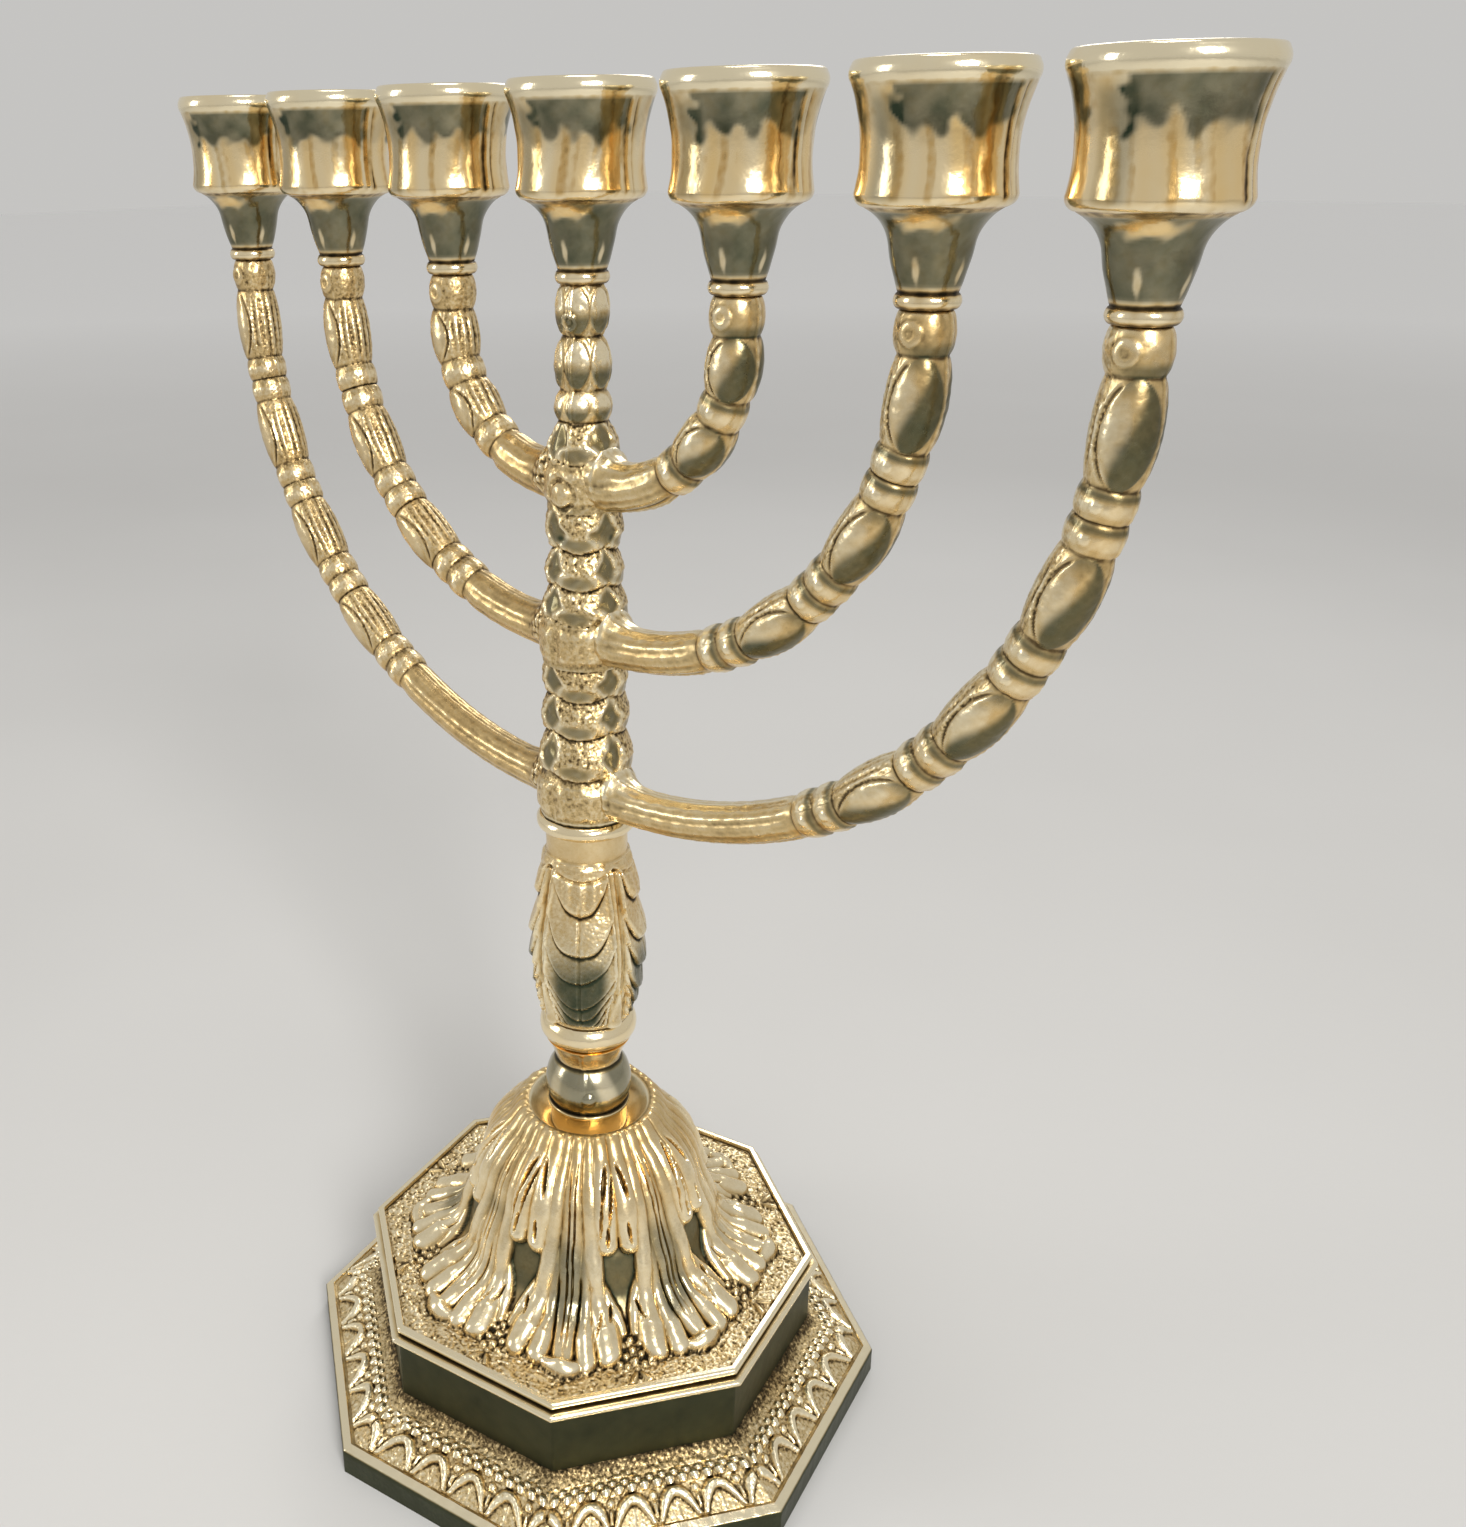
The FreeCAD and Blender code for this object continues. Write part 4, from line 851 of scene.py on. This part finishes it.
def trunk():
    """The centre stem: junctions, swelling lobes with facets between their panels that carry a painted dark
    reflection, and beads above.
    """
    spigot_base = seam_height - trunk_spigot_length
    heights = concatenate([[spigot_base, spigot_base, seam_height - 0.02],
                           np.arange(seam_height, tip_height, trunk_step), [tip_height]])
    hidden = heights < seam_height
    angles, directions = full_turn(trunk_columns)
    degrees = np.degrees(angles)
    off_panel = wrapped(degrees - panel_turn_deg, panel_width_deg)
    share = abs(off_panel) / (panel_width_deg / 2)
    z = heights[:, None] + 0 * angles
    low = seam_height
    form = [full(z.shape, value) for value in (8.4, 0.15, 0, 0)]
    unrest = wobble(around(8, directions, z), 7.5)
    for kind, length, low_radius, mid_radius, high_radius in trunk_stretches:
        t = (z - low - panel_drop * share ** 1.7 * (kind == "lobe")) / length
        inside = (t >= 0) & (z < low + length + panel_drop)
        t = clip(t, 0, 1)
        mean = low_radius + (high_radius - low_radius) * t
        swell = mid_radius - (low_radius + high_radius) / 2
        if kind == "lobe":
            size = 2.4 * clip(1 - abs(2.1 * t - 1), 0, 1)
            diamond = (1 - share) * mean * pi / 4 - size + 0.7 * unrest
            lens = hypot(arc(off_panel + 6, mean) / 3.2, (t - 0.24) * length / 1.3) + 0.25 * unrest
            made = (mean + (swell + 0.35) * sin(pi * t ** 0.75) ** 0.7 - 0.2
                    - 0.45 * rise(1, -1, diamond) * sin(pi * t) - 0.12 * rise(1.1, 0.5, lens),
                    0.8 * rise(-0.4, 0.6, diamond) * rise(0.6, 1.2, lens),
                    0.72 * rise(0.5, -0.9, diamond) + 0.6 * rise(1.2, 0.4, lens),
                    0.16 * bump(diamond - 0.5, 0.8))
        elif kind == "bead":
            oval = hypot(arc(wrapped(degrees - 300, 60), mean) / 1.9, (t - 0.5) / 0.46)
            made = (mean + swell * sin(pi * t) ** 0.7 + 0.16 * ball(oval, 1)
                    - 0.22 * bump((oval - 1.12) * 2, 0.4) * (length > 6),
                    0.3, 0.8 * rise(1.05, 0.9, oval) * rise(0.55, 0.3, t),
                    0.2 * rise(1, 0.8, oval) * rise(0.45, 0.6, t))
        else:
            made = (mean + swell * 4 * t * (1 - t), 0.45, 0.25 * rise(0.3, 0, t), 0)
        form = [where(inside, new, old) for new, old in zip(made, form)]
        low += length
    # The third value is a painted dark reflection and shade on the facets, the lenses and the junctions' lower parts;
    # the fourth is a painted highlight on the facets' rims and the beads' ovals.
    r, stipple, reflection_and_shade, edge = form
    place = around(r, directions, z)
    relief = zeros(z.shape)
    from_front = abs(wrapped(degrees - 270, 180))
    sway = wobble(place, 6)
    for root, size in ((outer_root_height, 3.6), (middle_root_height, 3.7), (inner_root_height, 3.4)):
        relief += 0.55 * rise(0, 12, from_front - 2) * rise(size, size * 0.55, abs(z - root))
        under = z - root + size + 0.4 + 0.5 * sway
        relief -= 0.8 * bump(under, 0.6 + 0.25 * sway) * rise(6, 22, from_front)
    knob = hypot(arc(wrapped(degrees - 276, 180), 6.8), z - inner_root_height + 1.2)
    relief = maximum(relief, 1.2 * ball(knob, 2.2)) - 0.25 * bump(knob - 2.7, 0.6)
    eye = hypot(arc(wrapped(degrees - 282, 180), 4.8), z - 222.4)
    relief += 0.4 * bump(eye - 1.25, 0.55) + 0.25 * bump(eye, 0.6)
    relief += 0.22 * bump(arc(wrapped(degrees - 286, 180), r), 0.4) * (z > inner_root_height + 4)
    rough = clip(stipple - 0.2, 0, 1)
    relief += (0.14 * pebbles(place, 0.8) + 0.3 * pebbles(place + 9, 1.7)) * rough + 0.12 * wobble(place, 4)
    relief[hidden] = relief[-1] = 0
    r[:3] = np.array([0.3, trunk_spigot_radius, trunk_spigot_radius])[:, None]
    r = r + relief
    wear_and_painted_light = where(hidden[:, None], 0.2, hollows(r, 0.42, 8) + edge + 0.04 - 0.12 * rough)
    wear_and_painted_light *= 1 - 0.9 * bump(z - seam_height, 0.5)
    grid = around(r, directions, z)
    piece("trunk_cast", "candelabrum", antique, ["trunk"], grid, (wear_and_painted_light, stipple, reflection_and_shade, 0.12), ring_of_rows=False)


# The branches

branch_step = 0.3
bead_length = 6.2
bead_radius = 4.35
almond_radius = 4.45
ring_length = 4.6
ring_radius = 4.1
# Reach, root height, straight stretches at root and tip, root radius, almonds, rings in a group, almond length
# and how far the trunk's surface is from its axis
branch_kinds = {
    "inner": (inner_reach, inner_root_height, 6, 6.8, 4, 2, 1, 9.4, 6.4),
    "middle": (middle_reach, middle_root_height, 8, 4.6, 3.8, 3, 2, 13.3, 7.7),
    "outer": (outer_reach, outer_root_height, 8.6, 5.2, 3.7, 4, 2, 14.2, 8.8)}
# Each side: where it points, how high its braze stands, how much painted light its underside gets, how strong its
# painted dark reflection and shade are, and how orange it looks, partly a painted golden reflection; one side is
# painted as lit and the other as shaded.
branch_sides = (("right", 1, 0.12, 0.14, 1, 0), ("left", -1, 0.5, -0.02, 0.3, 0.3))


def branch_part(name, t, length, degrees):
    """The radius, painted dark reflection and shade, and painted highlight of a bead, almond or ring, by the share of
    its length and the turn from its top.
    """
    arch = sin(pi * t)
    if name == "bead":
        eye = hypot(arc(degrees - 88, 4.3), (t - 0.5) * length)
        made = branch_waist + (bead_radius - branch_waist) * arch ** 0.6
        return (made + 0.24 * bump(eye - 1.25, 0.75) + 0.1 * bump(eye, 1),
                0.75 * rise(0.6, 0.85, t) * rise(120, 60, degrees), 0)
    if name == "ring":
        pearl = hypot(arc(degrees - 84, 4.2), (t - 0.52) * length)
        made = branch_waist + (ring_radius - branch_waist) * arch ** 0.5
        return made + 0.22 * ball(pearl, 0.9), 0.75 * window(0, 0.15, 0.2, 0.36, t), 0.15 * bump(t - 0.55, 0.25)
    half = 60 * arch ** 0.45
    off = (degrees - 58) / maximum(half, 1)
    facet = rise(1, 0.86, abs(off))
    groove = bump(arc((abs(off) - 1) * half, 4.5), 0.5) * window(0.02, 0.12, 0.88, 0.98, t) * rise(-0.3, 0.6, off)
    striae = cos(arc(degrees - 180, 4.5) * 2 * pi / 1.5) * rise(112, 124, degrees)
    made = branch_waist + (almond_radius - branch_waist) * arch ** 0.55
    made = made - 0.26 * groove + 0.14 * facet * np.sqrt(clip(1 - off ** 2, 0, 1)) + 0.14 * striae * arch
    # Painted dark reflection on the almond's lower facet and its far end; painted highlight on its upper facet.
    dark = 0.85 * rise(0.25, -0.2, off - 1.3 * (t - 0.42)) * rise(-1.1, -0.85, off)
    lit = 0.14 * rise(1.15, 0.7, hypot((off - 0.4) / 0.42, (t - 0.5) / 0.34))
    return made, maximum(dark, 0.6 * rise(0.2, 0.02, t)) * facet, lit


def branch_pair(kind):
    """The branches of a kind: the left root is brazed roughly and the right root flows into the trunk."""
    (reach, root_height, root_straight, tip_straight, root_radius, almonds, rings, almond_length,
     trunk_surface) = branch_kinds[kind]
    bend = min(reach - root_straight, tip_height - root_height - tip_straight)
    drop = tip_height - root_height - bend
    whole = drop + reach - bend + bend * pi / 2 - 2.5
    way = np.linspace(0, whole, int(whole / branch_step))[:, None]
    turn, _ = full_turn(branch_columns)
    degrees = np.degrees(abs(wrapped(turn, 2 * pi))) + 0 * way
    form = [value + 0 * degrees for value in (root_radius, 0, 0)]
    start = 0
    group = [("almond", almond_length)] + [("ring", ring_length)] * rings
    for name, length in [("bead", bead_length)] + group * almonds:
        t = (way - start) / length
        made = branch_part(name, clip(t, 0, 1), length, degrees)
        form = [where((t >= 0) & (t <= 1), new, old) for new, old in zip(made, form)]
        start += length
    r, reflection_and_shade, lit = form
    stipple = where((way <= start) & (degrees > 110), 0.55, 0.12)
    after = rise(0, 3, way - start)
    root = after * (way > start)
    r -= (root_radius - branch_waist) * ((way > start) - root)
    lines = cos(radians(degrees) * 9) * 0.5 + cos(radians(degrees) * 15 + 1) * 0.5
    r += 0.1 * lines * root * rise(25, 45, degrees) - 0.3 * bump(degrees - 24, 7) * root
    r += 0.2 * bump(arc(degrees, 4.2), 0.42) * (0.75 + 0.25 * cos(way * 2 * pi / 1.6))
    r += 0.1 * bump(arc(180 - degrees, 4.2), 0.5)
    bow = clip((way - drop) / bend, 0, pi / 2)
    x = reach - bend + bend * cos(bow) - maximum(way - drop - bend * pi / 2, 0)
    z = root_height + bend - bend * sin(bow) + maximum(drop - way, 0)
    to_trunk = clip(x - trunk_surface, 0, None)
    upward = (1 - cos(radians(degrees))) / 2
    r += (0.35 + 2.4 * upward ** 2) * np.exp(-to_trunk / 2.3)
    ray = stack(np.broadcast_arrays(cos(bow) * cos(turn), -sin(turn), -sin(bow) * cos(turn)), -1)
    place = stack([x, 0 * x, z], -1) + ray * r[..., None]
    rough = 0.06 * wobble(place, 3.6) + 0.05 * pebbles(place, 0.6) * stipple
    braze = pebbles(place, 1.2) * rise(3.4, 0.6, to_trunk) * rise(50, 90, degrees)
    for side, flip, brazed, painted_underside_light, reflection_and_shade_strength, warmth_and_reflection in branch_sides:
        surface = rough + brazed * braze
        # Painted light on the underside, painted dark reflection and shade at the root and on the facets, and an
        # orange on the upper side that is partly a painted golden reflection.
        wear_and_painted_light = hollows(r + surface, 0.32, 6) + lit + painted_underside_light * rise(115, 160, degrees)
        layers = (wear_and_painted_light, stipple, reflection_and_shade * reflection_and_shade_strength + 0.35 * bump(degrees - 30, 9) * root,
                  warmth_and_reflection + 0.35 * rise(100, 60, degrees) * (1 - root))
        grid = (place + ray * surface[..., None]) * np.array([flip, 1, 1])
        node = f"branch_{kind}_{side}"
        piece(node + "_cast", "candelabrum", antique, [node], grid[:, ::flip],
              [layer[:, ::flip] for layer in layers], ring_of_rows=False)


# The candle cups

candle_radius = 9.5
candle_depth_height = 15.5
cup_lip_base = 28.9


def cup(index, reach):
    """One cup: ring, funnel, bowl with a drawn-in waist, rolled lip and candle bore."""
    outline = vstack([
        straight([(0.6, -4.9), (2, -4.9), (2, -0.02), (3.7, 0)], 1.5),
        arc_through((4.1, 0.05), (4.7, 1.1), (4.15, 2.2), 10),
        arc_through((4.2, 2.35), (5.15, 5.3), (5.8, 8.3), 14),
        arc_through((5.85, 8.5), (6.95, 11.2), (9.2, 13.2), 14),
        arc_through((9.4, 13.35), (10.45, 13.85), (10.9, 14.9), 9),
        arc_through((10.9, 15.1), (10.45, 21.8), (12, cup_lip_base - 0.1), 44),
        arc_through((12.08, cup_lip_base + 0.1), (12.39, 30.1), (12.1, 31.15), 10),
        arc_through((12.05, 31.25), (11.75, 31.68), (11.3, 31.79), 7),
        arc_through((11.2, 31.78), (10.75, 31.45), (10.45, 30.9), 6),
        straight([(candle_radius, 29.4), (candle_radius, candle_depth_height + 0.1), (9.2, candle_depth_height),
                  (0.6, candle_depth_height)], 1.2)])
    r, z = columns_of(outline)
    outside = (np.arange(len(outline)) <= np.argmax(outline[:, 1]))[:, None]
    angles, directions = full_turn(turned_columns)
    degrees = np.degrees(angles)
    place = around(r, directions, z, 40 * index)
    seam = arc(abs(wrapped(degrees, 180)), 10.7)
    on_bowl = window(13.8, 15, 28, cup_lip_base, z) * outside
    relief = (0.05 * bump(seam, 0.7) - 0.16 * bump(seam - 0.9, 0.5)) * on_bowl
    relief += 0.06 * wobble(place, 8) * rise(1, 3, z) * outside
    relief *= z < cup_lip_base
    # Painted reflections on the polished cup, set by angle and height: golden vertical streaks on the lower bowl, a
    # dark green band on the upper bowl, a dark funnel with a golden patch and glints, and painted shade down one
    # side.
    lean = angles + 0.05 * sin(z / 3 + index) + index
    reflection_streak = 0.5 + 0.25 * cos(9 * lean + 0.4) + 0.25 * cos(16 * lean + 2)
    fine_reflection_streak = 0.5 + 0.3 * cos(13 * lean + sin(5 * lean)) + 0.2 * cos(29 * lean + 1)
    wear_and_painted_light = 0.66 + 0.10 * wobble(place, 3) + 0.3 * rise(28.7, 29.2, z)
    for line_height, depth, reach_of_line in ((2.3, 0.55, 0.6), (0, 0.4, 0.7), (28.75, 0.12, 0.5), (13.2, 0.3, 0.45)):
        wear_and_painted_light -= depth * bump(z - line_height, reach_of_line) * outside
    wear_and_painted_light -= 0.35 * bump(seam - 0.9, 0.5) * on_bowl
    # Painted reflection: light and dark vertical streaks on the lower bowl
    wear_and_painted_light += (0.2 - 0.4 * rise(0.3, 0.9, fine_reflection_streak)) * on_bowl * rise(26, 21, z)
    wear_and_painted_light = where(~outside & (z < 30.8), 0.36, wear_and_painted_light)
    # Painted dark green reflection on the upper bowl, its lower edge wavy
    start = 21.4 + 2.2 * reflection_streak + 1.2 * wobble(place, 6)
    from_patch = abs(wrapped(degrees - 312, 120)) + 7 * wobble(place, 5)
    upper = rise(start - 0.2, start + 1.5, z) * rise(28.7, 28.3, z) * (0.15 + 0.85 * rise(46, 40, from_patch))
    unrest = 0.4 * wobble(place + 3, 4)
    # Painted golden reflection and glints on the funnel, and a painted dark reflection round them
    gold_reflection = hypot(wrapped(degrees - 288, 180) / 30, (z - 11.7) / 1.3) + 1.4 * unrest
    gold_reflection = rise(1.3, 0.3, gold_reflection)
    glints = rise(1.2, 0.5, hypot(wrapped(degrees - 280, 72) / 6, (z - 5) / 1.9) + unrest)
    under = window(2.6, 3.4, 12.6, 13.3, z) * (1 - gold_reflection) * (1 - 0.8 * glints)
    # Painted shade down one side of the bowl
    shaded_side = bump(wrapped(degrees - 262, 180), 15 + 3 * reflection_streak) * on_bowl * rise(28.5, 26, z)
    cloudy = 0.9 + 0.1 * wobble(place + 11, 7)
    reflection_and_shade = (0.92 * upper * cloudy + 0.86 * under + 0.45 * shaded_side) * outside
    warm_and_reflection = (0.8 * reflection_streak * (1 - upper) * on_bowl + 0.9 * gold_reflection + 0.25) * outside
    warm_and_reflection *= rise(cup_lip_base, 28, z)
    grid = round_grid(outline + np.array([0, tip_height]), relief, directions, reach)
    node = f"candle_cup_{index + 1}"
    piece(node + "_turned", "candelabrum", polished, [node], grid, (wear_and_painted_light, 0.1, reflection_and_shade, warm_and_reflection), ring_of_rows=False)


# The floor, the light and the camera

floor_half_width = 6.0
floor_near = 0.3
floor_far = 2.2
sky_strength = 0.70
lamp_spread_deg = 100
# Each lamp: its name, its place and the place it points at in metres, its width and height in metres and its
# power in watts
lamps = (("key", (0.85, -0.45, 0.7), (0, 0, 0.14), 0.3, 0.45, 2.5),
         ("fill", (-0.75, -0.8, 0.45), (0, 0, 0.12), 0.25, 0.6, 0.55),
         ("rim", (-0.4, 0.9, 0.8), (0, 0, 0.15), 0.4, 0.4, 0.65),
         ("top", (0.1, -0.1, 1.1), (0, 0, 0.2), 0.35, 0.35, 0.5))


def stage():
    """A plain pale floor, in metres, that fades into the sky."""
    mesh = bpy.data.meshes.new("floor")
    corners = ((-1, -1), (1, -1), (1, 1), (-1, 1))
    mesh.from_pydata([(x * floor_half_width, y * floor_half_width, 0) for x, y in corners], [], [(0, 1, 2, 3)])
    paint = Paint("floor_paper")
    clouds = paint.noise(3, 3)
    away = paint.node("VectorMath", {0: paint.place()}, "Value", operation="LENGTH")
    near = paint.ramp(clouds, (0.3, FLOOR_DARK), (0.7, FLOOR_PALE))
    colour = paint.mix(paint.span(away, floor_near, floor_far, 0, 1), near, FLOOR_FAR)
    rough = paint.math("MULTIPLY_ADD", clouds, 0.1, 0.75)
    mesh.materials.append(paint.finish(colour, rough, paint.noise(200, 3), 0.05, 0.001, 0))
    floor = bpy.data.objects.new("floor", mesh)
    bpy.context.scene.collection.objects.link(floor)


def sky():
    """Pale light from all round, seen as it is by the camera and in the metal."""
    world = bpy.data.worlds.new("studio")
    bpy.context.scene.world = world
    world.use_nodes = True
    background = world.node_tree.nodes["Background"]
    background.inputs["Color"].default_value = (*SKY, 1)
    background.inputs["Strength"].default_value = sky_strength


def softbox(name, place, aim, width, height, watts):
    """A soft rectangular lamp that points at a place on the object."""
    lamp = bpy.data.lights.new(name, "AREA")
    lamp.shape = "RECTANGLE"
    lamp.size = width
    lamp.size_y = height
    lamp.spread = radians(lamp_spread_deg)
    lamp.energy = watts
    obj = bpy.data.objects.new(name, lamp)
    obj.location = place
    obj.rotation_euler = (Vector(aim) - Vector(place)).to_track_quat("-Z", "Y").to_euler()
    bpy.context.scene.collection.objects.link(obj)


def camera():
    """The camera of the photograph."""
    data = bpy.data.cameras.new("camera")
    data.sensor_width = sensor_width
    data.lens = FOCAL_PIXELS * sensor_width / IMAGE_HEIGHT
    data.shift_x = (IMAGE_WIDTH / 2 - CENTRE_COLUMN) / IMAGE_HEIGHT
    data.shift_y = (CENTRE_ROW - IMAGE_HEIGHT / 2) / IMAGE_HEIGHT
    data.clip_start = 0.01
    data.clip_end = 50
    obj = bpy.data.objects.new("camera", data)
    obj.matrix_world = Matrix.Translation(Vector(camera_place) * MM)
    for angle, axis in ((-camera_yaw, "Z"), (pi / 2 - camera_pitch, "X"), (camera_roll, "Z")):
        obj.matrix_world = obj.matrix_world @ Matrix.Rotation(angle, 4, axis)
    bpy.context.scene.collection.objects.link(obj)
    bpy.context.scene.camera = obj


foot_tier()
base_dome()
stem_bulb()
round_ring("stem_ring", stem_ring_base, stem_ring_top, stem_ring_radius, 0.12)
baluster()
round_ring("collar_ring", collar_base, seam_height, collar_ring_radius, 0.08)
trunk()
for branch_kind in branch_kinds:
    branch_pair(branch_kind)
for cup_index, cup_reach in enumerate((-outer_reach, -middle_reach, -inner_reach, 0,
                                       inner_reach, middle_reach, outer_reach)):
    cup(cup_index, cup_reach)
for kept_node, metal in (("base_screws", steel), ("tie_rod", steel), ("tie_washer", steel), ("tie_nut", steel),
                         ("screw_posts", post_brass)):
    kept_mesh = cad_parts[kept_node].data
    kept_mesh.materials.clear()
    kept_mesh.materials.append(metal)

stage()
sky()
for lamp_values in lamps:
    softbox(*lamp_values)
camera()
bpy.context.scene.view_settings.view_transform = "Standard"
